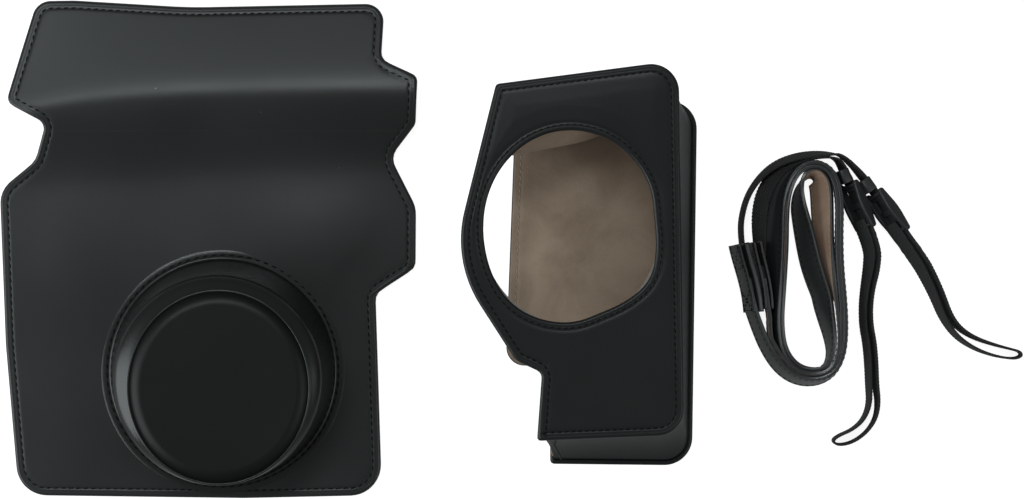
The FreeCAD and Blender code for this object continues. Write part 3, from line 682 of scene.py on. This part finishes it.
def make_cover(finish):
    """The cover's leather and lining in two lengths, each bending over one fold, and its stitches."""
    outline, plans = cover_plans()
    row = inner_line(outline, SEAM_INSET)
    loop = with_height(row, cover_surface(row, SEAM_INSET) + 0.02)
    lengths = [
        ("front", "cover_front", "cover_top", 42.0, 0.0, 7.0,
         ["cover_front_leather", "cover_front_board"], ["cover_front_lining"]),
        ("rear", "cover_top", "cover_flap", 77.0, RIDGE, 6.0,
         ["cover_top_leather", "cover_top_board", "cover_flap_leather", "cover_flap_board",
          "cover_flap_magnets"], ["cover_top_lining", "cover_flap_lining"]),
    ]
    for plan, (part, lower, upper, fold_y, fold_z, reach, hidden, linings) in zip(plans, lengths):
        distance = edge_distance(plan, outline)
        under = fold_height(plan)
        skin = shell_piece(
            "cover_%s_skin" % part, with_height(plan, cover_surface(plan, distance)),
            with_height(plan, under + LINING), finish["cover"], hidden, edge=distance,
        )
        low = np.minimum(under + rolled(distance, 0.6), under + LINING - 0.05)
        lining = shell_piece(
            "cover_%s_suede" % part, with_height(plan, under + LINING - 0.02), with_height(plan, low),
            finish["suede"], linings,
        )
        threads = stitch_row("cover_%s_stitches" % part, stitch_run(loop, part == "front"), 3.7,
                             finish["black_thread"])
        for piece in (skin, lining, threads):
            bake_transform(piece)


def turned(profile, segments, face_share=None, leaning=True):
    """A profile (radius, height) turned about the cup's axis; higher points follow the cup's lean.

    Where face_share is 1 the circle is the flat face's own: narrower in x, and set off to the front.
    """
    radius, height = np.array(profile, float).T[..., None]
    angle = np.arange(segments) * 2 * math.pi / segments
    share = height / CUP_HEIGHT if leaning else 0 * height
    own = 0 * height if face_share is None else face_share[:, None]
    narrow = 1 - FACE_NARROWING * own
    return np.stack([
        CUP[0] + CUP_LEAN[0] * share + FACE_SHIFT[0] * own + narrow * radius * np.cos(angle),
        CUP[1] + CUP_LEAN[1] * share + FACE_SHIFT[1] * own + radius * np.sin(angle),
        np.broadcast_to(height, (len(height), segments)),
    ], axis=-1) * MM


def soft_profile(points, step):
    """A profile's corner points as one soft curve."""
    return evenly(smooth_line([(x, z, 0.0) for x, z in points], 10), step)[:, :2]


def make_cup(finish):
    """The lens cup: moulded wall with a raised rim, flat face, suede inside, and the seam round it."""
    top = CUP_HEIGHT
    outer = soft_profile([
        (61.5, PANEL - 0.3), (60.5, PANEL + 0.2), (57.6, PANEL + 0.3), (56.6, PANEL - 0.1),
        (56.0, PANEL + 0.35), (55.4, PANEL + 1.1), (54.7, 8.0), (53.4, 18.0), (52.2, 27.0),
        (51.5, 33.5), (51.2, 37.5), (50.7, 40.0), (49.6, 41.6), (48.4, 42.8), (47.6, 43.6),
        (47.1, top + 0.15), (46.7, top + 0.05), (46.4, top - 0.4),
    ], 0.7)
    wall_inside = soft_profile([
        (46.4, top - 3.4), (47.0, top - 4.8), (48.6, 35.0), (51.2, 20.0), (53.2, PANEL), (53.4, 1.0),
        (61.5, 1.0),
    ], 2.0)
    profile = np.concatenate([outer, wall_inside])
    own = np.clip((51.2 - profile[:, 0]) / 3.6, 0, 1) * np.clip((profile[:, 1] - 36.0) / 4.0, 0, 1)
    face = [(46.45, top - 0.4), (40.0, top - 0.4), (30.0, top - 0.3), (15.0, top - 0.15), (0.0, top - 0.1),
            (0.0, top - 3.4), (46.45, top - 3.4)]
    inside = [(0.0, top - 3.45), (42.9, top - 3.45), (45.6, top - 4.6), (48.0, 35.6), (50.9, 20.0),
              (52.9, 0.4), (52.1, 0.4), (50.1, 20.0), (47.2, 35.0), (44.8, top - 5.4), (0.0, top - 5.4)]
    for name, shape, key, nodes in (
        ("lens_cup_skin", turned(profile, 220, own), "cup", ["lens_cup_wall"]),
        ("lens_cup_disc", turned(face, 220, np.ones(len(face))), "cup_face",
         ["lens_cup_face", "lens_cup_face_board"]),
        ("lens_cup_suede", turned(inside, 160), "suede", ["lens_cup_wall_lining", "lens_cup_face_lining"]),
    ):
        ring_piece(name, shape, finish[key], nodes, "cover_front")
    seam = turned([(57.8, PANEL + 0.4)], 361, leaning=False)[0]
    seam[-1] = seam[0]
    stitch_row("lens_cup_stitches", seam, 4.4, finish["black_thread"], "cover_front", length=2.9, thick=0.8)


# ---- half case


def ring_plan(outline, inner, both_edges=True):
    """Plan grid of straight rays from an inner outline to an outer one.

    Steps are in true millimetres near the outer edge, and near the inner one too where it is an edge.
    """
    near = np.array([0, 0.12, 0.35, 0.7, 1.1, 1.5, 1.9, 2.2, 2.5, 3.0, 3.4, 3.9, 4.4, 5.0, 6.0, 8.0])
    length = np.linalg.norm(outline - inner, axis=1)[None] / MM
    scale = np.minimum(1.0, length / (2.2 * near[-1]))
    outer = 1 - near[::-1, None] * scale / length
    first = near[:, None] * scale / length if both_edges else 0 * length
    middle = first[-1:] + np.linspace(0, 1, 16)[1:-1, None] * (outer[:1] - first[-1:])
    share = np.concatenate([first, middle, outer])[..., None]
    return inner[None] + share * (outline - inner)[None]


def oval_towards(outline):
    """The lens opening's edge in the direction of each outline point.

    An oval with bell-shaped changes of reach by angle: a fuller corner at the lower right, flatter
    stretches on each side of it, and a fuller lower left.
    """
    x, y, wide, high = HOLE
    centre = np.array([x, y]) * MM
    away = outline - centre
    angle = np.arctan2(away[:, 1], away[:, 0])
    reach = wide * high / np.hypot(high * np.cos(angle), wide * np.sin(angle))
    for gain, middle, spread in ((2.4, -34, 16), (-1.5, 6, 16), (-1.5, -71, 14), (2.1, -128, 28)):
        reach = reach + gain * bell(np.degrees(angle), middle, spread)
    return centre + np.stack([np.cos(angle), np.sin(angle)], axis=-1) * reach[:, None] * MM


def disc_plan(outline, centre):
    """Plan grid of rays from a centre to a closed outline."""
    plan = ring_plan(outline, centre + (outline - centre) * 0.02, both_edges=False)
    plan[0] = centre
    return plan


def make_half_front(finish):
    """Front panel of the half case: leather turned over the edge and the oval, suede behind."""
    outline = closed_evenly(rounded_path(HALF_FRONT), PLAN_STEP)
    hole = oval_towards(outline)
    plan = ring_plan(outline, hole)
    near = np.minimum(edge_distance(plan, outline), edge_distance(plan, closed_evenly(hole, 1.0 * MM)))
    bow = 0.5 * bell(plan[..., 1] / MM, 70, 30) * np.clip(near / 12, 0, 1)
    low = CASE_DEPTH - PANEL
    between = with_height(plan, low + LINING)
    shell_piece("half_front_skin", with_height(plan, CASE_DEPTH + bow - bead_and_groove(near)), between,
                finish["case"], ["half_front_leather"], "half_case", near, wrap=True)
    shell_piece("half_front_suede", between, with_height(plan, low + rolled(near, 0.5)),
                finish["suede"], ["half_front_lining"], "half_case", wrap=True)
    for name, border, inset in (("half_front_stitches", outline, SEAM_INSET),
                                ("lens_opening_stitches", hole, -2.9)):
        row = inner_line(closed_evenly(border, STITCH_LINE_STEP), inset)
        stitch_row(name, level_loop(row, CASE_DEPTH - 0.12), PITCH, finish["black_thread"], "half_case")


def make_half_back(finish):
    """Back panel of the half case: leather underneath and round the edge, suede on top, stitched."""
    outline = closed_evenly(rounded_path(HALF_BACK), PLAN_STEP)
    centre = np.array([80.0, -15.0]) * MM
    plan = disc_plan(outline, centre)
    near = edge_distance(plan, outline)
    shell_piece("half_back_skin", with_height(plan, PANEL - 0.25 - rolled(near, 1.3)),
                with_height(plan, rolled(near, 0.9)), finish["case"], ["half_back_leather"], "half_case",
                near, wrap=True)
    cloth = closed_evenly(rounded_path(BACK_SUEDE), PLAN_STEP)
    plan = disc_plan(cloth, centre)
    near = edge_distance(plan, cloth)
    hem = 0.35 / (1 + np.exp((near - 7.5) / 0.25)) - 0.25 * bell(near, 3.6, 0.5)
    # Painted shade on the back suede: darker towards the right and the rear, where the front panel shades
    # it.
    right, rear = [np.clip((plan[..., k] / MM - start) / 62, 0, 1) for k, start in enumerate((62, 18))]
    painted_shade = np.clip(right ** 1.5 + rear, 0, 1) * 0.75
    shell_piece("half_back_suede", with_height(plan, PANEL + hem - rolled(near, 0.8)),
                with_height(plan, PANEL - LINING - 0.9), finish["back_suede"], ["half_back_lining"],
                "half_case", painted_shade, wrap=True)
    row = inner_line(closed_evenly(outline, STITCH_LINE_STEP), 3.8)
    stitch_row("half_back_stitches", level_loop(row, PANEL + 0.12), PITCH, finish["pale_thread"],
               "half_case", thick=0.75)


def gusset_grid(outwards, heights, along):
    """Grid of the wall between the panels: the back line lofted to the front line, moved outwards.

    Halfway up it sags inwards by a half wave, most where the rear wall has fallen in.
    """
    lines = []
    for corners in (GUSSET_BACK, GUSSET_FRONT):
        runs = rounded_path(corners, closed=False, per_arc=18)
        share = lengths_along(runs)
        moved = runs - right_of(unit(np.gradient(runs, axis=0))) * outwards * MM
        lines.append(at_places(moved, share / share[-1], along))
    share = heights[:, None, None]
    plan = lines[0] * (1 - share) + lines[1] * share
    # The rear wall falls 25 mm inwards at its free end, less along it, and not at all past its corner.
    corner_at = 0.17
    reach = (25.0 - 42.0 * along) * 0.5 * (1 - np.tanh((along - corner_at) / 0.03))
    fallen = reach[:, None] * np.array([0.0, -1.0])
    inward = unit(plan.mean(axis=(0, 1)) - plan)
    plan = plan + np.sin(math.pi * share) * (1.6 * inward + fallen) * MM
    rise = PANEL + heights * (CASE_DEPTH - 2 * PANEL)
    return with_height(plan, rise[:, None])


def make_gusset(finish):
    """The wall round three sides of the half case, its hemmed ends, and its stitches."""
    along = np.unique(np.concatenate([np.linspace(0, 1, 260), [0.002, 0.004, 0.996, 0.998]]))
    faces = (-0.1, -1.3, -2.1)    # leather outside, leather against suede, suede inside
    outer, middle, inner = [gusset_grid(outwards, np.linspace(0, 1, 26), along) for outwards in faces]
    shell_piece("half_gusset_skin", outer, middle, finish["gusset"], ["half_gusset_leather"], "half_case")
    shell_piece("half_gusset_suede", middle, inner, finish["suede"], ["half_gusset_lining"], "half_case")
    for name, place, facing in (("gusset_foot_stitches", 0.988, (-0.2, -1, 0.4)),
                                ("gusset_head_stitches", 0.012, (-0.1, 1, -0.3))):
        line = gusset_grid(0.1, np.linspace(0.02, 0.98, 90), np.array([place]))[:, 0]
        stitch_row(name, line, PITCH, finish["grey_thread"], "half_case", up=facing)


# ---- neck strap


def soft_box(low_across, high_across, low_up, high_up, radius, per_corner=4):
    """A rectangle with rounded corners, in millimetres, anticlockwise."""
    turns = np.linspace(0, math.pi / 2, per_corner)
    left, right = low_across + radius, high_across - radius
    low, high = low_up + radius, high_up - radius
    middles = ((right, low), (right, high), (left, high), (left, low))
    return np.concatenate([
        np.stack([x + radius * np.cos(turns + start), y + radius * np.sin(turns + start)], axis=-1)
        for (x, y), start in zip(middles, (-math.pi / 2, 0.0, math.pi / 2, math.pi))
    ])


def leaning_band(line, lean, section, pivot):
    """Grid of a flat band on its edge: a section carried along a line, leaning about a height.

    Place = line + right * (across cos lean + (up - pivot) sin lean), height = line height
    + (up - pivot) cos lean - across sin lean. A last row and a first row at the middle close the ends.
    """
    right = right_of(unit(np.gradient(line[:, :2], axis=0)))
    section = np.broadcast_to(section, (len(line),) + section.shape[-2:])
    across, up = section[..., 0], section[..., 1] - pivot
    cos, sin = np.cos(lean)[:, None], np.sin(lean)[:, None]
    plan = line[:, None, :2] + right[:, None] * ((across * cos + up * sin) * MM)[..., None]
    height = line[:, None, 2] + (up * cos - across * sin) * MM
    points = np.concatenate([plan, height[..., None]], axis=-1)
    ends = [np.broadcast_to(row.mean(axis=0), row.shape)[None] for row in (points[0], points[-1])]
    return np.concatenate([ends[0], points, ends[1]])


def band_piece(name, line, lean, section, pivot, finish, node):
    """A leaning band as a piece of the strap, with a UV map along and across it in metres."""
    points = leaning_band(line, lean, section, pivot)
    faces, corner_rows, corner_columns = grid_faces(*points.shape[:2])
    along = np.pad(lengths_along(line), 1, mode="edge")
    one = section if section.ndim == 2 else section[0]
    around = lengths_along(np.append(one, one[:1], axis=0)) * MM
    uv = np.stack([along[corner_rows], around[corner_columns]], axis=-1)
    return make_piece(name, points, faces, finish, [node], "strap", uv)


def offset_right(line, distance):
    """A plan line moved to its right by a distance in its own unit."""
    return line + right_of(unit(np.gradient(line, axis=0))) * distance


def strap_line():
    """The whole strap's top line in metres, and its lean: in round the roll, round the fold, out again."""
    step, handover, smoothing = 1.0, 50, 7
    roll = evenly(smooth_line(ROLL), step)
    middle, roll_lean = roll[:, :2], roll[:, 2]
    going = np.column_stack([offset_right(middle, HALF_PITCH), roll_lean])
    coming = np.column_stack([offset_right(middle[::-1], HALF_PITCH), -roll_lean[::-1]])
    coming[:handover, 2] = np.linspace(FOLD[-1][2], coming[handover, 2], handover)
    coming[-handover:, 2] *= np.linspace(1, 0, handover)
    start = np.array([(*spot, ROLL[0][2]) for spot in STRAP_END_1])
    end = np.array([(*spot, 0.0) for spot in STRAP_END_2])
    fold = evenly(smooth_line([tuple(going[-1])] + FOLD + [tuple(coming[0])]), step)
    line = np.concatenate([evenly(start, step)[:-1], going[:-1], fold, coming[1:], evenly(end, step)[1:]])
    kernel = np.ones(smoothing) / smoothing
    padded = [np.pad(values, smoothing // 2, mode="reflect", reflect_type="odd") for values in line.T]
    x, y, lean = [np.convolve(values, kernel, mode="valid") for values in padded]
    return np.stack([x, y], axis=-1) * MM, np.radians(lean)


def make_strap(finish):
    """Leather and suede of the strap, and the rows of stitches along both of its edges."""
    plan, lean = strap_line()
    half = STRAP_HALF_THICK
    line = with_height(plan, STRAP_WIDTH * np.cos(lean) + half * np.abs(np.sin(lean)))
    suede_section = soft_box(-half - 0.08, -half + 0.4, 0.9, STRAP_WIDTH - 0.9, 0.1)
    band_piece("strap_outer", line, lean, soft_box(-half, half, 0.0, STRAP_WIDTH, 0.4), STRAP_WIDTH,
               finish["strap"], "strap_leather")
    band_piece("strap_inner", line, lean, suede_section, STRAP_WIDTH, finish["strap_suede"], "strap_lining")
    for number, up in enumerate((1.9, STRAP_WIDTH - 1.9), start=1):
        for side, across, key in (("suede", -half - 0.05, "strap_thread"),
                                  ("leather", half, "black_thread")):
            row = leaning_band(line, lean, np.array([[across, up]]), STRAP_WIDTH)[1:-1, 0]
            stitch_row("strap_%s_stitches_%d" % (side, number), row, 3.0, finish[key], "strap",
                       length=2.0, thick=0.45, slant=0.0)


def tab_rows(low_edge, high_edge):
    """The stitch lines on a tab: along both edges, and at each end a cross and a line over it."""
    share = np.linspace(0, 1, 12)[:, None]
    rows = [low_edge, high_edge]
    for first, last in ((1, 11), (22, 32)):
        for start, end in ((low_edge[first], high_edge[last]), (high_edge[first], low_edge[last]),
                           (low_edge[first], high_edge[first])):
            rows.append(start + share * (end - start))
    return rows


def make_tabs(finish):
    """The sewn patches over the joints of strap and webbing, with a stitched box and cross on each."""
    places = [((150.2, -31.0), (143.9, 3.0), 18.0, 3.5), ((156.0, -29.5), (151.4, 4.0), 8.0, 2.25)]
    for number, (low, high, lean, inner_face) in enumerate(places, start=1):
        ends = np.array([low, high]) * MM
        share = np.linspace(0, 1, 34)[:, None]
        sway = np.concatenate([0.9 * MM * np.sin(math.pi * share * 1.3 + 0.4), 0 * share], axis=-1)
        plan = ends[0] + share * (ends[1] - ends[0]) + sway
        tilt = np.radians(np.full(len(plan), lean))
        line = with_height(plan, STRAP_WIDTH * np.cos(tilt) + 2.2 * np.sin(tilt))
        for side, (a, b) in enumerate(((-2.25, -1.0), (1.0, inner_face)), start=1):
            band_piece("strap_tab_%d_patch_%d" % (number, side), line, tilt,
                       soft_box(a, b, 0.0, STRAP_WIDTH, 0.5), STRAP_WIDTH, finish["strap"],
                       "strap_tab_%d" % number)
        edges = np.array([[-2.3, 1.6], [-2.3, STRAP_WIDTH - 1.6]])
        flat = leaning_band(line, tilt, edges, STRAP_WIDTH)[1:-1]
        for count, row in enumerate(tab_rows(flat[:, 0], flat[:, 1]), start=1):
            stitch_row("strap_tab_%d_stitches_%d" % (number, count), row, 2.4, finish["black_thread"],
                       "strap", length=1.9, thick=0.5, up=(-0.8, 0, 0.6), slant=0.0)


def webbing_section(along):
    """Sections of the webbing in millimetres: thin, with an edge that steps out at every weft pick."""
    pick_pitch, pick_reach = 1.7, 0.16
    base = soft_box(-WEB_THICK / 2, WEB_THICK / 2, 0.0, WEB_WIDTH, 0.45, per_corner=3)
    picks = pick_reach * np.sin(along / MM * 2 * math.pi / pick_pitch)
    sections = np.repeat(base[None], len(along), axis=0)
    sections[..., 1] += picks[:, None] * np.sign(base[:, 1] - WEB_WIDTH / 2)
    return sections


def make_webbings(finish):
    """The two webbings: each a woven band along its own spline."""
    for number, route, leans, length in ((1, WEBBING_1, LEAN_1, 0.333), (2, WEBBING_2, LEAN_2, 0.365)):
        line = smooth_line(route)
        tilt = np.radians(smooth_line([(x, y, lean) for (x, y, _), lean in zip(route, leans)])[:, 2])
        band = band_piece("webbing_%d_band" % number, line, tilt, webbing_section(lengths_along(line)),
                          WEB_WIDTH / 2, finish["webbing"], "webbing_%d" % number)


def placed(points, start, end, distance, sideways, lean):
    """Points in millimetres of a small fitting, turned onto a webbing's run and leant about it."""
    run = Vector((end[0] - start[0], end[1] - start[1], 0)).normalized()
    left = Vector((-run.y, run.x, 0))
    spot = Vector((start[0], start[1], 0)) + run * (distance * MM) + left * (sideways * MM)
    turn = Matrix((run, left, (0, 0, 1))).transposed() @ Matrix.Rotation(-math.radians(lean), 3, "X")
    return points.reshape(-1, 3) * MM @ np.array(turn).T + np.array([spot.x, spot.y, start[2]])


def box_corners(x, half_x, half_y, radius):
    """Rounded corners of a rectangle about a place on the x axis, in millimetres."""
    return [(x + a * half_x, b * half_y, radius) for a, b in ((-1, -1), (1, -1), (1, 1), (-1, 1))]


def slider_shape():
    """A slider about its middle: two leaf-shaped rails, with three bars and two end plates between."""
    rail = [(-12.5, -1.5, 1.3), (0, -3.2, 30), (12.5, -1.5, 1.3), (12.5, 1.5, 1.3), (0, 3.2, 30),
            (-12.5, 1.5, 1.3)]
    parts = [fitting_block(rail, 4.35, 6.5, 0.7), fitting_block(rail, -6.5, -4.35, 0.7)]
    parts += [fitting_block(box_corners(x, 1.7, 0.55, 0.5), -5.0, 5.0, 0.2) for x in (-9.3, 0.0, 9.3)]
    parts += [fitting_block(box_corners(x, 0.9, 1.6, 0.6), -5.0, 5.0, 0.3) for x in (-10.6, 10.6)]
    shifts = np.cumsum([0] + [len(points) for points, _ in parts])
    faces = [faces + shift for (_, faces), shift in zip(parts, shifts)]
    return np.concatenate([points for points, _ in parts]), np.concatenate(faces)


def keeper_shape():
    """A keeper about its middle: a flat section carried round a rounded rectangle of webbing size."""
    loop = soft_box(-2.3, 2.3, -4.9, 4.9, 1.2, per_corner=6)
    out = right_of(unit(np.roll(loop, -1, axis=0) - np.roll(loop, 1, axis=0)))
    section = soft_box(-0.45, 0.45, -3.5, 3.5, 0.3)
    ring = loop[:, None] + out[:, None] * section[None, :, :1]
    points = np.concatenate([np.broadcast_to(section[None, :, 1:], ring.shape[:2] + (1,)), ring], axis=-1)
    return points, grid_faces(*points.shape[:2], wrap_rows=True)[0]


def fitting_block(outline, low, high, soft):
    """Points and quads of a small moulded block: a plan outline between two heights, soft edges."""
    shape = closed_evenly(rounded_path(outline), 0.3 * MM)
    centre = shape.mean(axis=0)
    steps = np.array([0, 0.35, 0.6, 0.75, 0.85, 0.92, 0.97, 1.0])[:, None, None]
    plan = centre + steps * (shape - centre)
    near = edge_distance(plan, shape)
    drop = rolled(near, soft)
    points, faces = closed_shell(with_height(plan, high - drop), with_height(plan, low + drop), wrap=True)
    return points / MM, faces


def make_fittings(finish):
    """Sliders and keepers on the straight run of each webbing, leaning with it."""
    runs = [
        (WEBBING_1[7], WEBBING_1[8], 17.5, 34.5, 36.0, -0.6),
        (WEBBING_2[8], WEBBING_2[9], 6.0, 22.0, 40.0, -1.0),
    ]
    for number, (start, end, keeper_at, slider_at, lean, aside) in enumerate(runs, start=1):
        for kind, part, (points, faces), at, sideways, turn in (
            ("slider", "body", slider_shape(), slider_at, aside, lean),
            ("keeper", "ring", keeper_shape(), keeper_at, aside - 0.9, lean * 0.4),
        ):
            node = "%s_%d" % (kind, number)
            make_piece("%s_%s" % (node, part), placed(points, start, end, at, sideways, turn), faces,
                       finish["plastic"], [node], node)


# ---- scene


def make_finishes():
    """Every finish of the case by the maker's name for it: its material and its slot."""
    grain, nap, weave = leather_grain_group(), nap_group(), weave_group()
    by_slot = {
        "black_leather": {
            "cover": leather("cover_leather", (0.007, 0.0082, 0.0085), (0.013, 0.0148, 0.0152), 0.36, grain,
                             rim=True),
            "cup": leather("cup_leather", (0.006, 0.007, 0.007), (0.010, 0.011, 0.011), 0.30, grain),
            "cup_face": leather("cup_face_leather", (0.004, 0.0045, 0.0045), (0.007, 0.0075, 0.0075), 0.42,
                                grain, gloss=0.22),
            "case": leather("case_leather", (0.004, 0.005, 0.0055), (0.008, 0.009, 0.0095), 0.36, grain,
                            gloss=0.36, rim=True),
            "gusset": leather("gusset_leather", (0.003, 0.0033, 0.0033), (0.006, 0.0064, 0.0064), 0.24,
                              grain, gloss=0.07, specks=False),
            "strap": leather("strap_leather_face", (0.014, 0.0155, 0.016), (0.024, 0.026, 0.027), 0.27,
                             grain, gloss=0.8, specks=False),
            "black_thread": thread("black_thread", (0.005, 0.005, 0.005), gloss=0.12),
            "grey_thread": thread("grey_thread", (0.060, 0.060, 0.058)),
            "strap_thread": thread("strap_thread", (0.45, 0.38, 0.31)),
        },
        "taupe_suede": {
            "suede": suede("taupe_suede_lining", (0.260, 0.190, 0.140), (0.400, 0.305, 0.232), nap),
            # The back panel's suede: a little darker than the lining suede, and with painted shade towards
            # the right and rear.
            "back_suede": suede("back_panel_suede", (0.230, 0.168, 0.123), (0.350, 0.267, 0.203), nap,
                                painted_shade=True),
            "strap_suede": suede("brown_suede", (0.255, 0.168, 0.120), (0.420, 0.292, 0.217), nap),
            "pale_thread": thread("pale_thread", (0.40, 0.34, 0.27)),
        },
        "black_webbing": {
            "webbing": webbing_cloth("black_nylon_webbing", (0.006, 0.006, 0.006), (0.018, 0.018, 0.019),
                                     weave),
        },
        "black_plastic": {"plastic": moulded_plastic("black_moulded_plastic", (0.018, 0.019, 0.020))},
        "grey_board": {
            "board": plain_board("grey_fibre_board", (0.12, 0.11, 0.10), (0.24, 0.22, 0.20), 400.0),
        },
        "bare_steel": {
            "steel": plain_board("zinc_plated_steel", (0.30, 0.30, 0.31), (0.46, 0.46, 0.47), 300.0),
        },
    }
    return {name: (material, slot) for slot, made in by_slot.items() for name, material in made.items()}


def finish_hidden_nodes(finish):
    """Give the boards and plates that stay from the frame their own materials."""
    for node, key in (("half_front_board", "board"), ("half_back_board", "board"),
                      ("half_back_plates", "steel")):
        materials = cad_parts[node].data.materials
        materials.clear()
        materials.append(finish[key][0])


def area_light(name, place, aim, size, power):
    """A soft rectangular light at a place, aimed at a point."""
    data = bpy.data.lights.new(name, "AREA")
    data.shape = "RECTANGLE"
    data.size, data.size_y = size
    data.energy = power
    data.color = COOL_WHITE
    light = new_object(name, data)
    light.location = place
    light.rotation_euler = (Vector(aim) - Vector(place)).to_track_quat("-Z", "Y").to_euler()


def seen_white(tree, strength_seen, strength_unseen):
    """A brightness that is high where a surface is looked at, and low where it only lights others."""
    looked_at = add_node(tree, "ShaderNodeLightPath").outputs["Is Camera Ray"]
    return remapped(tree, looked_at, 0.0, 1.0, strength_unseen, strength_seen)


def make_table():
    """A pale table top just under the case."""
    floor, tree, shader = new_material("table_top")
    for label, value in (("Base Color", (0.45, 0.45, 0.45, 1)), ("Roughness", 0.9),
                         ("Specular IOR Level", 0.0), ("Emission Color", (1, 1, 1, 1))):
        shader.inputs[label].default_value = value
    tree.links.new(seen_white(tree, 0.9, 0.07), shader.inputs["Emission Strength"])
    plane = bpy.data.meshes.new("table_top")
    reach, level = 2.5, -0.0006
    corners = [(a * reach, b * reach, level) for a, b in ((-1, -1), (1, -1), (1, 1), (-1, 1))]
    plane.from_pydata(corners, [], [(0, 1, 2, 3)])
    plane.materials.append(floor)
    new_object("table_top", plane)


def make_studio():
    """Soft lights to the left, behind, above and to the right, and dim even surroundings."""
    world = bpy.data.worlds.new("studio")
    world.use_nodes = True
    backdrop = world.node_tree.nodes["Background"]
    backdrop.inputs["Color"].default_value = (1.0, 1.0, 1.0, 1)
    world.node_tree.links.new(seen_white(world.node_tree, 0.95, 0.15), backdrop.inputs["Strength"])
    bpy.context.scene.world = world
    area_light("left_window", (-1.3, -0.30, 0.80), (-0.1, -0.02, 0), (1.1, 1.3), 15.0)
    area_light("rear_overhead", (-0.34, 0.68, 1.70), (-0.1, 0.02, 0), (1.1, 0.26), 8.5)
    area_light("right_fill", (1.1, -0.3, 1.1), (0.1, 0, 0), (0.8, 0.8), 4.0)
    bpy.context.scene.view_settings.view_transform = "Standard"


def make_camera():
    """Looking straight down on the middle of the three pieces, from one and a half metres."""
    data = bpy.data.cameras.new("camera")
    data.sensor_width = 36.0
    distance, width, middle_x = 1.5, 0.512, 0.02875
    data.lens = data.sensor_width * distance / width
    camera = new_object("camera", data)
    camera.location = (middle_x, 0.0, distance)
    bpy.context.scene.camera = camera


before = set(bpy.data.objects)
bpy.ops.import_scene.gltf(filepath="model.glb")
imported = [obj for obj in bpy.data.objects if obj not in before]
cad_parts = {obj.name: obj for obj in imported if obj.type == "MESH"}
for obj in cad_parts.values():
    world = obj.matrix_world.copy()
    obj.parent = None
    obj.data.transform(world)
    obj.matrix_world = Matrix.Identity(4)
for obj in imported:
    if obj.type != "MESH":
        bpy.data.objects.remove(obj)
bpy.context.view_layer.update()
make_camera()
finishes = make_finishes()
for make in (make_fittings, make_webbings, make_cover, make_cup, make_half_front, make_half_back,
             make_gusset, make_strap, make_tabs, finish_hidden_nodes):
    make(finishes)
make_table()
make_studio()
